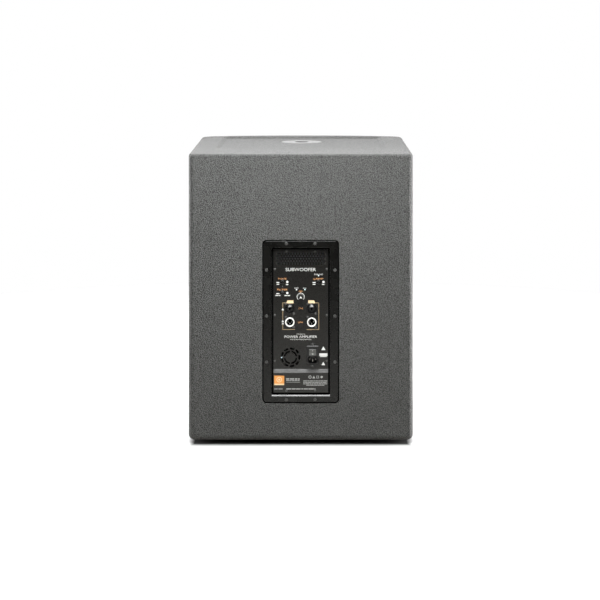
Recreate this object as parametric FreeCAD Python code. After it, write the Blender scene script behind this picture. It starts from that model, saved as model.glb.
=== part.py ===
# A self-powered 18-inch PA subwoofer: a plywood bass-reflex cabinet with a bowed, grilled front,
# pocket handles, a pole socket in a stacking recess, and an amplifier module let into its back.
# Each physical piece is written to parts/NAME.step.
#
# Units are millimetres. The origin is on the floor, under the centre of the cabinet.
# +Z is up, the grille faces -Y, the amplifier faces +Y, and +X is on the right seen from the front.
import FreeCAD, Part
import math
import os

V = FreeCAD.Vector

# ---------------------------------------------------------------- driving dimensions

# Cabinet
CAB_W = 533.0  # outside width
CAB_H = 680.0  # outside height, without the feet
CAB_D = 610.0  # from the back to the crown of the bowed front
FRONT_BOW = 40.0  # how far the middle of the front stands ahead of its sides
FRONT_CORNER_R = 42.0  # corners between the sides and the bowed front, in plan
REAR_CORNER_R = 15.0  # upright corners at the back
TOP_EDGE_R = 6.0
BASE_EDGE_R = 14.0
PLY = 18.0  # plywood thickness
FOOT_H = 8.0  # height of the rubber feet

# Stacking recess and pole socket, in the top
RECESS_W = 420.0
RECESS_REAR = 165.0  # from the back of the cabinet to the recess
RECESS_FRONT = 566.0  # from the back of the cabinet to the recess's front edge
RECESS_DEPTH = 5.0
RECESS_SLOPE = 10.0  # horizontal run of the recess's sloping sides
POLE_R = 17.75  # bore for a 35 mm pole
POLE_DEPTH = 85.0
POLE_FLANGE_R = 53.0
POLE_Y = -140.0  # the pole stands ahead of the cabinet's middle

# Front
BAFFLE_SET_BACK = 70.0  # from the crown of the front to the baffle's face
GRILLE_INSET = 1.5  # grille face behind the edges of the top and bottom panels
GRILLE_T = 1.5
CLEAT_W = 15.5  # strips of wood that carry the grille

# Woofer, an 18-inch driver with a 4-inch voice coil
WOOFER_R = 230.0
WOOFER_TRAVEL = 9.0
BOLT_CIRCLE_R = 220.0
PORT_R = 60.0
PORT_FLANGE_R = 90.0

# Amplifier module. U runs to the right and V runs up, seen from behind, from the module's centre.
MODULE_Z = 282.5 + FOOT_H  # height of the module's centre above the floor
BEZEL_W, BEZEL_H = 177.0, 382.0
OPENING_W, OPENING_H = 139.0, 348.0
PANEL_W, PANEL_H = 130.0, 338.0
SHEET = 1.5  # sheet steel thickness
PANEL_RECESS = 14.0  # control face behind the cabinet's back
LABEL_RECESS = 4.0  # label face, lower down, behind the cabinet's back
STEP_TOP_V, STEP_BOTTOM_V = -114.8, -122.0  # the slope between those two faces
TRAY_DEPTH = 110.0
SIDE_SCREW_V = (122.0, 13.0, -96.0)
END_SCREW_U = (-34.0, 34.0)
END_SCREW_V = 164.6  # of the panel's end screws

VENT_V = 147.3
VENT_PITCH = 6.6
VENT_HOLE_R = 2.6
VENT_ROWS = (17, 18, 17, 18, 17)

KNOB_UV = (0.0, 57.6)
POLARITY_UV = (-43.6, 91.2)
CROSSOVER_UV = (-43.6, 64.8)
FRONT_LED_UV = (42.3, 91.2)
BUTTON_TRAVEL = 3.0
STATUS_LED_UV = ((-10.0, 73.5), (9.8, 73.5), (42.3, 106.6))
FAN_LAMP_UV = (-45.7, -87.8)
LAMP_R = 1.5
JACK_U = 26.0
JACK_V = 28.2
OUTPUT_V = -3.8
FAN_UV = (-24.2, -87.4)
INLET_UV = (28.3, -82.2)
ROCKER_V = -74.6
SOCKET_V = -93.6
ROCKER_TILT = 9.0  # degrees each side of level

# ---------------------------------------------------------------- places worked out from those

HALF_W = CAB_W / 2
INNER_X = HALF_W - PLY
REAR_Y = CAB_D / 2
FRONT_Y = -CAB_D / 2
BASE_Z = FOOT_H
TOP_Z = BASE_Z + CAB_H
FLOOR_Z = BASE_Z + PLY
CEILING_Z = TOP_Z - PLY
BOW_R = (HALF_W**2 + FRONT_BOW**2) / (2 * FRONT_BOW)
BOW_Y = FRONT_Y + BOW_R  # the bow's centre of curvature, on x = 0
BAFFLE_Y = FRONT_Y + BAFFLE_SET_BACK
WOOFER_Z = CEILING_Z - WOOFER_R - 8.0
PORT_X = 135.0
PORT_Z = FLOOR_Z + PORT_FLANGE_R + 8.0
HANDLE_Y = -10.0
HANDLE_Z = 430.0
FOOT_X = 185.0
FOOT_Y = (REAR_Y - RECESS_REAR - 30.0, REAR_Y - RECESS_FRONT + 32.0)
BRACE_Y = 150.0

# ---------------------------------------------------------------- helpers


def frame(origin, x_axis, y_axis):
    """Placement that carries local X and Y onto two world axes at an origin."""
    z_axis = x_axis.cross(y_axis)
    return FreeCAD.Placement(
        FreeCAD.Matrix(
            x_axis.x, y_axis.x, z_axis.x, origin.x,
            x_axis.y, y_axis.y, z_axis.y, origin.y,
            x_axis.z, y_axis.z, z_axis.z, origin.z,
            0, 0, 0, 1,
        )
    )  # fmt: skip


# Local Z points out of the cabinet in each of these.
MODULE = frame(V(0, REAR_Y, MODULE_Z), V(-1, 0, 0), V(0, 0, 1))
WOOFER = frame(V(0, BAFFLE_Y, WOOFER_Z), V(1, 0, 0), V(0, 0, 1))
RIGHT_HANDLE = frame(V(HALF_W, HANDLE_Y, HANDLE_Z), V(0, 1, 0), V(0, 0, 1))
LEFT_HANDLE = frame(V(-HALF_W, HANDLE_Y, HANDLE_Z), V(0, -1, 0), V(0, 0, 1))
PORTS = [frame(V(x, BAFFLE_Y, PORT_Z), V(1, 0, 0), V(0, 0, 1)) for x in (-PORT_X, PORT_X)]
POLE = frame(V(0, POLE_Y, TOP_Z - RECESS_DEPTH), V(1, 0, 0), V(0, 1, 0))
FEET = [frame(V(x, y, 0), V(1, 0, 0), V(0, 1, 0)) for x in (-FOOT_X, FOOT_X) for y in FOOT_Y]


def placed(shape, place):
    """A copy of a shape, carried from local to world coordinates."""
    moved = shape.copy()
    moved.Placement = place.multiply(moved.Placement)
    return moved


def at(shape, x, y, z=0.0):
    """A copy of a shape, shifted."""
    moved = shape.copy()
    moved.translate(V(x, y, z))
    return moved


def block(x0, x1, y0, y1, z0, z1):
    return Part.makeBox(x1 - x0, y1 - y0, z1 - z0, V(x0, y0, z0))


def disc(radius, z0, z1, x=0.0, y=0.0):
    return Part.makeCylinder(radius, z1 - z0, V(x, y, z0))


def tube(outer, inner, z0, z1, x=0.0, y=0.0):
    return disc(outer, z0, z1, x, y).cut(disc(inner, z0, z1, x, y))


def rounded(width, height, radius, z0, z1, x=0.0, y=0.0):
    """Plate with rounded corners, centred on x, y."""
    plate = block(x - width / 2, x + width / 2, y - height / 2, y + height / 2, z0, z1)
    return plate.makeFillet(radius, [e for e in plate.Edges if is_along(e, V(0, 0, 1))])


def is_along(edge, direction):
    """True for a straight edge in a direction."""
    if edge.Curve.TypeId != "Part::GeomLine":
        return False
    return abs(abs(edge.Curve.Direction.dot(direction)) - 1) < 1e-6


def section(start, *steps):
    """Closed face in the XZ plane. A step is a corner, or a pair (point on an arc, its end)."""
    here = V(start[0], 0, start[1])
    edges = []
    for step in steps + (start,):
        if isinstance(step[0], tuple):
            via, end = (V(p[0], 0, p[1]) for p in step)
            edges.append(Part.Arc(here, via, end).toShape())
        else:
            end = V(step[0], 0, step[1])
            if end.distanceToPoint(here) > 1e-6:
                edges.append(Part.LineSegment(here, end).toShape())
        here = end
    return Part.Face(Part.Wire(edges))


def backwards(steps):
    """The same outline walked the other way, from its last point to its first."""
    ends = [s[1] if isinstance(s[0], tuple) else s for s in steps]
    turned_round = [ends[-1]]
    for step, end in zip(reversed(steps[1:]), reversed(ends[:-1])):
        turned_round.append((step[0], end) if isinstance(step[0], tuple) else end)
    return turned_round


def turned(start, *steps):
    """Solid of revolution about Z from a section in radius and height."""
    return section(start, *steps).revolve(V(0, 0, 0), V(0, 0, 1), 360)


def dome(radius, rim_z, crown_z):
    """Section step that rises from a rim to the axis as part of a ball."""
    rise = crown_z - rim_z
    ball = (radius**2 + rise**2) / (2 * rise)
    half = math.asin(radius / ball) / 2
    return ((ball * math.sin(half), crown_z - ball + ball * math.cos(half)), (0, crown_z))


def across(face, width):
    """Prism with a section drawn in V and Z, centred on U = 0."""
    bar = face.extrude(V(0, width, 0))
    bar.rotate(V(0, 0, 0), V(0, 0, 1), 90)
    return at(bar, width / 2, 0)


def ring_copies(shape, count, first=0.0):
    """Copies of a shape spaced evenly round Z."""
    copies = []
    for i in range(count):
        copy = shape.copy()
        copy.rotate(V(0, 0, 0), V(0, 0, 1), first + i * 360.0 / count)
        copies.append(copy)
    return copies


def joined(shapes):
    """Overlapping shapes as one clean solid."""
    first, *rest = shapes
    return first.fuse(rest).removeSplitter() if rest else first


def arc_slot(radius, width, start, sweep, z0, z1):
    """Curved slot with square ends, centred on a radius, about Z. Angles are in degrees."""
    low, high = radius - width / 2, radius + width / 2
    face = section((low, z0), (high, z0), (high, z1), (low, z1))
    slot = face.revolve(V(0, 0, 0), V(0, 0, 1), sweep)
    slot.rotate(V(0, 0, 0), V(0, 0, 1), start)
    return slot


def write(name, *solids):
    """One STEP file for a node, from one or more separate solids."""
    shape = solids[0] if len(solids) == 1 else Part.makeCompound(list(solids))
    broken = [s for s in shape.Solids if not s.isValid()]
    if broken or not shape.Solids:
        raise RuntimeError(f"{name} is not a valid solid")
    shape.exportStep(f"parts/{name}.step")


def cross_recess(size, z0, z1):
    """Cross-shaped driver recess of a screw head."""
    bar = block(-size / 2, size / 2, -size / 7, size / 7, z0, z1)
    upright = block(-size / 7, size / 7, -size / 2, size / 2, z0, z1)
    return bar.fuse(upright)


def hex_recess(size, z0, z1):
    """Six-sided driver recess of a screw head."""
    corners = [(size / 2 * math.cos(math.radians(60 * i)), size / 2 * math.sin(math.radians(60 * i)))
               for i in range(7)]  # fmt: skip
    return Part.Face(Part.makePolygon([V(x, y, z0) for x, y in corners])).extrude(V(0, 0, z1 - z0))


def pan_screw(head_r, head_h, shank_r, length, recess=cross_recess):
    """Round-headed screw along Z, seated at z = 0 with its head above."""
    head = turned((0, 0), (head_r, 0), (head_r, head_h * 0.35), dome(head_r, head_h * 0.35, head_h))
    screw = head.fuse(disc(shank_r, -length, 0)).removeSplitter()
    return screw.cut(recess(head_r * 1.15, head_h * 0.35, head_h))


def flat_screw(head_r, head_h, shank_r, length):
    """Countersunk screw along Z, with its flat top at z = 0."""
    body = turned((0, 0), (head_r, 0), (shank_r, -head_h), (shank_r, -length), (0, -length))
    return body.cut(cross_recess(head_r * 1.15, -head_h * 0.6, 0))


def flat_seat(head_r, head_h, shank_r, length, gap=0.15):
    """Hole that takes a countersunk screw with a small gap all round."""
    return turned((0, 1), (head_r + gap, 1), (head_r + gap, 0), (shank_r + gap, -head_h),
                  (shank_r + gap, -length - gap), (0, -length - gap))  # fmt: skip


# Fasteners: head radius, head height, shank radius, length
WOOD_SCREW = (4.2, 2.4, 1.9, 15.0)
BEZEL_SCREW = (3.9, 1.5, 1.9, 13.0)
BEZEL_DIMPLE = 1.2
M3_SCREW = (2.7, 1.6, 1.45, 7.0)
SCREW_GAP = 0.1


def clearance(screws, size):
    """Shank holes for screws seated at the places given as (x, y, z)."""
    return [disc(size[2] + SCREW_GAP, z - size[3] - 1, z + 0.5, x, y) for x, y, z in screws]


# ---------------------------------------------------------------- cabinet


def cabinet_envelope():
    """The outside of the cabinet as one solid, before it is cut into panels."""
    corner_y = FRONT_Y + FRONT_BOW
    corners = [V(HALF_W, corner_y, BASE_Z), V(HALF_W, REAR_Y, BASE_Z),
               V(-HALF_W, REAR_Y, BASE_Z), V(-HALF_W, corner_y, BASE_Z)]  # fmt: skip
    edges = [Part.LineSegment(a, b).toShape() for a, b in zip(corners, corners[1:])]
    edges.append(Part.Arc(corners[3], V(0, FRONT_Y, BASE_Z), corners[0]).toShape())
    body = Part.Face(Part.Wire(edges)).extrude(V(0, 0, CAB_H))
    for radius, front in ((FRONT_CORNER_R, True), (REAR_CORNER_R, False)):
        upright = [e for e in body.Edges if is_along(e, V(0, 0, 1))]
        sharp = [e for e in upright if abs(abs(e.CenterOfMass.x) - HALF_W) < 1e-3]
        body = body.makeFillet(radius, [e for e in sharp if (e.CenterOfMass.y < 0) == front])
    for radius, height in ((TOP_EDGE_R, TOP_Z), (BASE_EDGE_R, BASE_Z)):
        level = [e for e in body.Edges if abs(e.BoundBox.ZMin - height) < 1e-3 and e.BoundBox.ZLength < 1e-3]
        body = body.makeFillet(radius, level)
    return body


def stacking_recess():
    """The tapered hollow in the top that takes the feet of a second cabinet."""
    y0, y1 = REAR_Y - RECESS_FRONT, REAR_Y - RECESS_REAR
    middle = (y0 + y1) / 2
    low_z = TOP_Z - RECESS_DEPTH
    rise = RECESS_DEPTH + 1.0  # the cutter stands 1 mm above the top, on the same slope
    spread = RECESS_SLOPE * rise / RECESS_DEPTH
    low_w, low_l = RECESS_W - 2 * RECESS_SLOPE, (y1 - y0) - 2 * RECESS_SLOPE
    wires = []
    for z, grow in ((low_z, 0.0), (low_z + rise, 2 * spread)):
        plate = rounded(low_w + grow, low_l + grow, 14.0 + grow / 2, z, z + 1, 0, middle)
        face = min(plate.Faces, key=lambda f: f.CenterOfMass.z)
        wires.append(face.OuterWire)
    return Part.makeLoft(wires, True, True)


def pole_seat():
    """Counterbore and clearance hole for the pole socket, in the socket's frame."""
    return disc(POLE_FLANGE_R + 0.5, -3.2, 0.5).fuse(disc(22.5, -20, 0))


POLE_SCREW_R = 42.0
POLE_SCREWS = [(POLE_SCREW_R * math.cos(math.radians(45 + 90 * i)),
                POLE_SCREW_R * math.sin(math.radians(45 + 90 * i))) for i in range(4)]  # fmt: skip

# Handle pocket, in the side panel's frame
HANDLE_W, HANDLE_H = 204.0, 150.0
HANDLE_FLANGE_T = 2.5
DISH_W, DISH_H, DISH_DEPTH = 176.0, 122.0, 60.0
DISH_WALL = 2.5
HANDLE_SCREWS = [(x, y) for x in (-91.5, 91.5) for y in (-64.5, 64.5)]


def handle_seat():
    """Pocket for a handle's flange and the hole for its dish."""
    pocket = rounded(HANDLE_W + 1.5, HANDLE_H + 1.5, 21.0, -HANDLE_FLANGE_T - 0.5, 1)
    hole = rounded(DISH_W + 3, DISH_H + 3, 19.0, -PLY - 1, 0)
    pilots = [disc(WOOD_SCREW[2] + SCREW_GAP, -17, 0, x, y) for x, y in HANDLE_SCREWS]
    return pocket.fuse([hole] + pilots)


def cabinet_panels():
    body = cabinet_envelope()
    reach = 1.0  # how far the cutting blocks pass the envelope
    y0, y1 = FRONT_Y - reach, REAR_Y + reach
    z0, z1 = BASE_Z - reach, TOP_Z + reach

    right = body.common(block(INNER_X, HALF_W + reach, y0, y1, z0, z1))
    left = body.common(block(-HALF_W - reach, -INNER_X, y0, y1, z0, z1))
    write("right_side_panel", right.cut(placed(handle_seat(), RIGHT_HANDLE)))
    write("left_side_panel", left.cut(placed(handle_seat(), LEFT_HANDLE)))

    top = body.common(block(-INNER_X, INNER_X, y0, y1, CEILING_Z, z1))
    pilots = [disc(WOOD_SCREW[2] + SCREW_GAP, -16, 0, x, y) for x, y in POLE_SCREWS]
    top = top.cut(stacking_recess()).cut(placed(pole_seat().fuse(pilots), POLE))
    write("top_panel", top)

    bottom = body.common(block(-INNER_X, INNER_X, y0, y1, z0, FLOOR_Z))
    holes = [placed(disc(WOOD_SCREW[2] + SCREW_GAP, 4, FOOT_H + 14), foot) for foot in FEET]
    write("bottom_panel", bottom.cut(holes))

    rear = body.common(block(-INNER_X, INNER_X, REAR_Y - PLY, y1, FLOOR_Z, CEILING_Z))
    pocket = rounded(BEZEL_W + 6, BEZEL_H + 6, 11.0, -4.5, 1)
    opening = rounded(OPENING_W + 7.5, OPENING_H + 8, 6.0, -PLY - 1, 0)
    pilots = clearance(bezel_screw_places(), BEZEL_SCREW)
    write("rear_panel", rear.cut(placed(pocket.fuse([opening] + pilots), MODULE)))


def baffle_holes():
    """Openings in the baffle, in world coordinates."""
    driver = disc(WOOFER_R - 20, -PLY - 1, 1)
    bolts = ring_copies(disc(4.3, -PLY - 1, 1, BOLT_CIRCLE_R), 8, 22.5)
    holes = [placed(driver.fuse(bolts), WOOFER)]
    for port in PORTS:
        screws = [disc(WOOD_SCREW[2] + SCREW_GAP, -14, 1, x, y) for x, y in port_screw_places()]
        holes.append(placed(disc(76.0, -PLY - 1, 1).fuse(screws), port))
    lamp = frame(V(0, BAFFLE_Y, PORT_Z), V(1, 0, 0), V(0, 0, 1))
    holes.append(placed(disc(5.1, -PLY - 1, 1), lamp))
    return holes


def port_screw_places():
    radius = PORT_FLANGE_R - 5.5
    return [(radius * math.cos(a), radius * math.sin(a))
            for a in (math.radians(45 + 90 * i) for i in range(4))]  # fmt: skip


def front_baffle():
    board = block(-INNER_X, INNER_X, BAFFLE_Y, BAFFLE_Y + PLY, FLOOR_Z, CEILING_Z)
    write("front_baffle", board.cut(baffle_holes()))


def window_brace():
    """Plywood frame that ties the walls together between the driver and the amplifier."""
    board = block(-INNER_X, INNER_X, BRACE_Y, BRACE_Y + PLY, FLOOR_Z, CEILING_Z)
    plane = frame(V(0, BRACE_Y, 0), V(1, 0, 0), V(0, 0, 1))
    windows = [rounded(370, height, 40, -PLY - 1, 1, 0, z) for z, height in ((205, 250), (505, 230))]
    write("window_brace", board.cut([placed(w, plane) for w in windows]))


def damping_wadding():
    """Soft pads that line the inside walls."""
    thick = 24.0
    pads = [
        block(-225, 225, 0, BRACE_Y - 5, CEILING_Z - thick, CEILING_Z),
        block(-215, 215, 10, BRACE_Y - 5, FLOOR_Z, FLOOR_Z + thick),
        block(-200, 200, REAR_Y - PLY - thick, REAR_Y - PLY, 500, 640),
    ]
    for side in (-1, 1):
        x0, x1 = sorted((side * INNER_X, side * (INNER_X - thick)))
        pads.append(block(x0, x1, BRACE_Y + PLY + 6, REAR_Y - PLY - thick - 6, 60, 640))
    write("damping_wadding", *[pad.makeFillet(8.0, pad.Edges) for pad in pads])


# ---------------------------------------------------------------- front


def bowed_sheet(inset, thickness, half_width, z0, z1):
    """Sheet that follows the bowed front, a distance behind it."""
    outer = BOW_R - inset
    height = z1 - z0
    centre = V(0, BOW_Y, z0)
    ring = Part.makeCylinder(outer, height, centre)
    ring = ring.cut(Part.makeCylinder(outer - thickness, height, centre))
    return ring.common(block(-half_width, half_width, FRONT_Y, FRONT_Y + 80, z0, z1))


def bow_y(x, inset):
    """Y of the surface a distance behind the bowed front."""
    return BOW_Y - math.sqrt((BOW_R - inset) ** 2 - x**2)


GRILLE_SCREW_X = 241.0
GRILLE_SCREW_Z = (70.0, 257.0, 439.0, 626.0)


def grille_screw_frames():
    """Frames of the grille screws, square to the bowed sheet."""
    frames = []
    for side in (-1, 1):
        x = side * GRILLE_SCREW_X
        y = bow_y(x, GRILLE_INSET)
        outward = V(x, y - BOW_Y, 0).normalize()
        across = V(0, 0, 1).cross(outward)
        frames += [frame(V(x, y, z), across, V(0, 0, 1)) for z in GRILLE_SCREW_Z]
    return frames


def front_grille():
    """Bowed steel sheet with folded edges. The perforation is too fine to model here."""
    half, gap = INNER_X - 1.0, 1.0
    z0, z1 = FLOOR_Z + gap, CEILING_Z - gap
    parts = [bowed_sheet(GRILLE_INSET, GRILLE_T, half, z0, z1)]
    for edge in (z0, z1 - GRILLE_T):
        parts.append(bowed_sheet(GRILLE_INSET, 12.0, half, edge, edge + GRILLE_T))
    sheet = joined(parts)
    holes = [placed(disc(WOOD_SCREW[2] + SCREW_GAP, -6, 2), f) for f in grille_screw_frames()]
    write("front_grille", sheet.cut(holes))

    screw = pan_screw(*WOOD_SCREW)
    write("grille_screws", *[placed(screw, f) for f in grille_screw_frames()])

    foam = bowed_sheet(GRILLE_INSET + GRILLE_T + 0.2, 6.0, INNER_X - CLEAT_W - 1, z0 + 3, z1 - 3)
    lamp = frame(V(0, BAFFLE_Y, PORT_Z), V(1, 0, 0), V(0, 0, 1))
    write("grille_foam", foam.cut(placed(disc(9, 20, 90), lamp)))


def grille_cleats():
    """Upright strips on the baffle that the grille is screwed to."""
    strips = []
    back = GRILLE_INSET + GRILLE_T
    for side in (-1, 1):
        x0, x1 = sorted((side * INNER_X, side * (INNER_X - CLEAT_W)))
        strip = block(x0, x1, FRONT_Y, BAFFLE_Y, FLOOR_Z, CEILING_Z)
        inside = Part.makeCylinder(BOW_R - back, CAB_H, V(0, BOW_Y, BASE_Z))
        strip = strip.common(inside)
        slots = [bowed_sheet(back, 10.5, INNER_X + 1, FLOOR_Z, FLOOR_Z + 3),
                 bowed_sheet(back, 10.5, INNER_X + 1, CEILING_Z - 3, CEILING_Z)]  # fmt: skip
        holes = [placed(disc(WOOD_SCREW[2] + SCREW_GAP, -17, 2), f) for f in grille_screw_frames()]
        strips.append(strip.cut(slots + holes))
    write("grille_cleats", *strips)


def front_led():
    """Lamp in the baffle that shines through the grille."""
    lens = turned((0, -12), (5, -12), (5, 0), (7, 0), (7, 1.5), (4, 1.5), dome(4, 1.5, 5))
    lamp = frame(V(0, BAFFLE_Y, PORT_Z), V(1, 0, 0), V(0, 0, 1))
    write("front_led", placed(lens, lamp))


# ---------------------------------------------------------------- woofer
# Sections are in radius and height, with height 0 on the baffle's face and rising to the front.

GASKET_T = 3.0
FLANGE_Z = GASKET_T + 8.0  # front face of the basket's flange
CONE_EDGE_R = 183.0
CONE_NECK_R = 52.0
CONE_SLOPE = 0.582  # fall per millimetre of radius
CONE_T = 2.0
COIL_IN, COIL_OUT = 50.2, 51.8
COIL_GAP = 0.5
SPIDER_Z = -78.0
LANDING_R = 98.0
TOP_PLATE = (-142.0, -130.0)
MAGNET = (-168.0, -142.0)
YOKE = (-180.0, -168.0)


def cone_height(radius):
    """Height of the cone's front face at a radius."""
    return FLANGE_Z - (175.0 - radius) * CONE_SLOPE


def woofer_basket():
    basket = turned(
        (198, FLANGE_Z), (WOOFER_R, FLANGE_Z), (WOOFER_R, GASKET_T), (208, GASKET_T),
        (208, -20), (118, SPIDER_Z), (118, TOP_PLATE[1]), (56, TOP_PLATE[1]),
        (56, TOP_PLATE[1] + 6), (113, TOP_PLATE[1] + 6), (113, SPIDER_Z - 6),
        (LANDING_R, SPIDER_Z - 6), (LANDING_R, SPIDER_Z - 1), (112, SPIDER_Z - 1),
        (203, -18), (203, GASKET_T), (198, GASKET_T),
    )  # fmt: skip
    window = arc_slot(162.0, 74.0, -16.5, 33.0, SPIDER_Z + 2, -22)
    bolts = ring_copies(disc(3.3, 0, FLANGE_Z + 1, BOLT_CIRCLE_R), 8, 22.5)
    basket = basket.cut(ring_copies(window, 8) + bolts)
    write("woofer_basket", placed(basket, WOOFER))

    gasket = tube(WOOFER_R, WOOFER_R - 19, 0, GASKET_T)
    gasket = gasket.cut(ring_copies(disc(3.5, -1, GASKET_T + 1, BOLT_CIRCLE_R), 8, 22.5))
    write("woofer_gasket", placed(gasket, WOOFER))


def woofer_bolts():
    bolt = disc(5.0, FLANGE_Z, FLANGE_Z + 6).fuse(disc(2.95, -PLY - 6, FLANGE_Z))
    bolt = bolt.removeSplitter().cut(hex_recess(5.8, FLANGE_Z + 3, FLANGE_Z + 7))
    bolts = ring_copies(at(bolt, BOLT_CIRCLE_R, 0), 8, 22.5)
    write("woofer_bolts", *[placed(b, WOOFER) for b in bolts])

    nut = tube(9.5, 3.05, -PLY - 1.6, -PLY).fuse(tube(4.2, 3.05, -PLY, -6)).removeSplitter()
    nuts = ring_copies(at(nut, BOLT_CIRCLE_R, 0), 8, 22.5)
    write("tee_nuts", *[placed(n, WOOFER) for n in nuts])


def woofer_cone():
    """The paper cone, its dust cap and the voice coil, which move together."""
    edge = CONE_EDGE_R
    neck = cone_height(CONE_NECK_R)
    cone = turned((edge, FLANGE_Z), (175, FLANGE_Z), (CONE_NECK_R, neck),
                  (CONE_NECK_R, neck - CONE_T * 1.2), (175.5, FLANGE_Z - CONE_T),
                  (edge, FLANGE_Z - CONE_T))  # fmt: skip
    write("woofer_cone", placed(cone, WOOFER))

    rim = cone_height(64.0) + 1.0
    crown = rim + 17.0
    outer, inner = dome(64, rim, crown), dome(62, rim, crown - 1.5)
    cap = turned(outer[1], (outer[0], (64, rim)), (62, rim), inner)
    write("dust_cap", placed(cap, WOOFER))

    former = tube(COIL_OUT - 0.6, COIL_IN, -152, neck - 0.5)
    winding = tube(COIL_OUT, COIL_OUT - 0.8, -152, -122)
    collar = tube(COIL_OUT, COIL_OUT - 0.8, SPIDER_Z - 3, neck - 0.5)
    write("voice_coil", placed(joined([former, winding, collar]), WOOFER))


def surround():
    """Half-roll edge that ties the cone to the basket."""
    t = 1.2
    low = FLANGE_Z
    inner, outer = CONE_EDGE_R + 0.5, 203.5
    centre = (inner + outer) / 2
    roll = (outer - inner) / 2
    edge = turned(
        (176, low), (inner + t, low), ((centre, low + roll - t), (outer - t, low)),
        (212, low), (212, low + t), (outer, low + t), ((centre, low + roll + t), (inner, low + t)),
        (176, low + t),
    )  # fmt: skip
    write("surround", placed(edge, WOOFER))


def spider():
    """Corrugated cloth disc that centres the coil."""
    t, rise, waves = 1.0, 1.8, 4
    first, last = COIL_OUT + 0.4, 106.0
    start, end = first + 3, last - 8
    quarter = (end - start) / waves / 4
    low, high = [(first, SPIDER_Z)], [(first, SPIDER_Z + t)]
    for edge, z in ((low, SPIDER_Z), (high, SPIDER_Z + t)):
        edge.append((start, z))
        for i in range(waves):
            r = start + 4 * i * quarter
            edge.append(((r + quarter, z + rise), (r + 2 * quarter, z)))
            edge.append(((r + 3 * quarter, z - rise), (r + 4 * quarter, z)))
        edge.append((last, z))
    write("spider", placed(turned(*low, *backwards(high)), WOOFER))


def woofer_motor():
    """Top plate, ring magnet and yoke with its vented pole."""
    plate = tube(108, COIL_OUT + COIL_GAP, *TOP_PLATE)
    plate = plate.makeChamfer(1.5, [e for e in plate.Edges if e.BoundBox.XLength > 200])
    write("magnet_top_plate", placed(plate, WOOFER))

    magnet = tube(112, 62, *MAGNET)
    magnet = magnet.makeFillet(2.0, [e for e in magnet.Edges if e.BoundBox.XLength > 200])
    write("woofer_magnet", placed(magnet, WOOFER))

    pole = COIL_IN - COIL_GAP
    yoke = turned((14, YOKE[0]), (104, YOKE[0]), (108, YOKE[0] + 4), (108, YOKE[1]),
                  (pole, YOKE[1]), (pole, -128), (20, -128), (14, -134))  # fmt: skip
    write("pole_yoke", placed(yoke, WOOFER))


def port_tubes():
    """Flared plastic tubes that tune the cabinet."""
    wall = 3.5
    tube_end = -190.0
    port = turned(
        (PORT_R, tube_end), (PORT_R, -14), ((PORT_R + 5.3, -1.3), (PORT_R + 18, 4)),
        (PORT_FLANGE_R, 4), (PORT_FLANGE_R, 0), (PORT_R + 15, 0),
        ((PORT_R + 8, -5), (PORT_R + wall, -16)), (PORT_R + wall, tube_end),
    )  # fmt: skip
    holes = [disc(WOOD_SCREW[2] + SCREW_GAP, -1, 5, x, y) for x, y in port_screw_places()]
    port = port.cut(holes)
    write("port_tubes", *[placed(port, place) for place in PORTS])


# ---------------------------------------------------------------- handles, socket, feet


def handle_cup():
    """Dished plastic pocket with a flange let into the side panel."""
    face = -0.5
    flange = rounded(HANDLE_W, HANDLE_H, 20.0, face - HANDLE_FLANGE_T, face)
    shell = rounded(DISH_W, DISH_H, 18.0, -DISH_DEPTH, face - HANDLE_FLANGE_T / 2)
    shell = shell.makeFillet(12.0, [e for e in shell.Edges if e.BoundBox.ZMax < -DISH_DEPTH + 0.1])
    hollow = rounded(DISH_W - 2 * DISH_WALL, DISH_H - 2 * DISH_WALL, 15.5, -DISH_DEPTH + DISH_WALL, 1)
    floor = [e for e in hollow.Edges if e.BoundBox.ZMax < -DISH_DEPTH + DISH_WALL + 0.1]
    hollow = hollow.makeFillet(9.5, floor)
    cup = flange.fuse(shell).removeSplitter().cut(hollow)
    rim = [e for e in cup.Edges
           if e.BoundBox.ZMin > face - 0.01 and e.BoundBox.ZLength < 0.01]  # fmt: skip
    cup = cup.makeFillet(0.9, rim)
    return cup.cut([at(flat_seat(*WOOD_SCREW), x, y, face) for x, y in HANDLE_SCREWS])


def handle_bar():
    """Round grip across the pocket, with a waist at each end."""
    length = DISH_W - 2 * DISH_WALL
    neck, grip = 8.0, 11.0
    ends = length / 2
    bar = turned(
        (0, -ends), (neck + 5, -ends), (neck + 5, -ends + 2), ((neck + 1, -ends + 4), (neck, -ends + 8)),
        (neck, -ends + 14), ((grip - 0.4, -ends + 18), (grip, -ends + 24)), (grip, ends - 24),
        ((grip - 0.4, ends - 18), (neck, ends - 14)), (neck, ends - 8),
        ((neck + 1, ends - 4), (neck + 5, ends - 2)), (neck + 5, ends), (0, ends),
    )  # fmt: skip
    bar.rotate(V(0, 0, 0), V(0, 1, 0), 90)
    return at(bar, 0, 26.0, -19.0)


def handles():
    sides = (LEFT_HANDLE, RIGHT_HANDLE)
    write("handle_cups", *[placed(handle_cup(), side) for side in sides])
    write("handle_bars", *[placed(handle_bar(), side) for side in sides])


def pole_socket():
    """Metal cup for a loudspeaker pole, with a flange flush in the recess floor."""
    wall = 3.5
    bottom = -POLE_DEPTH - wall
    cup = turned(
        (0, bottom), (POLE_R + wall, bottom), (POLE_R + wall, -3), (POLE_FLANGE_R, -3),
        (POLE_FLANGE_R, -1), (POLE_FLANGE_R - 1, 0), (POLE_R + 1.2, 0), (POLE_R, -1.2),
        (POLE_R, -POLE_DEPTH), (0, -POLE_DEPTH),
    )  # fmt: skip
    seats = [at(flat_seat(*WOOD_SCREW), x, y, 0) for x, y in POLE_SCREWS]
    write("pole_socket", placed(cup.cut(seats), POLE))


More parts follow.
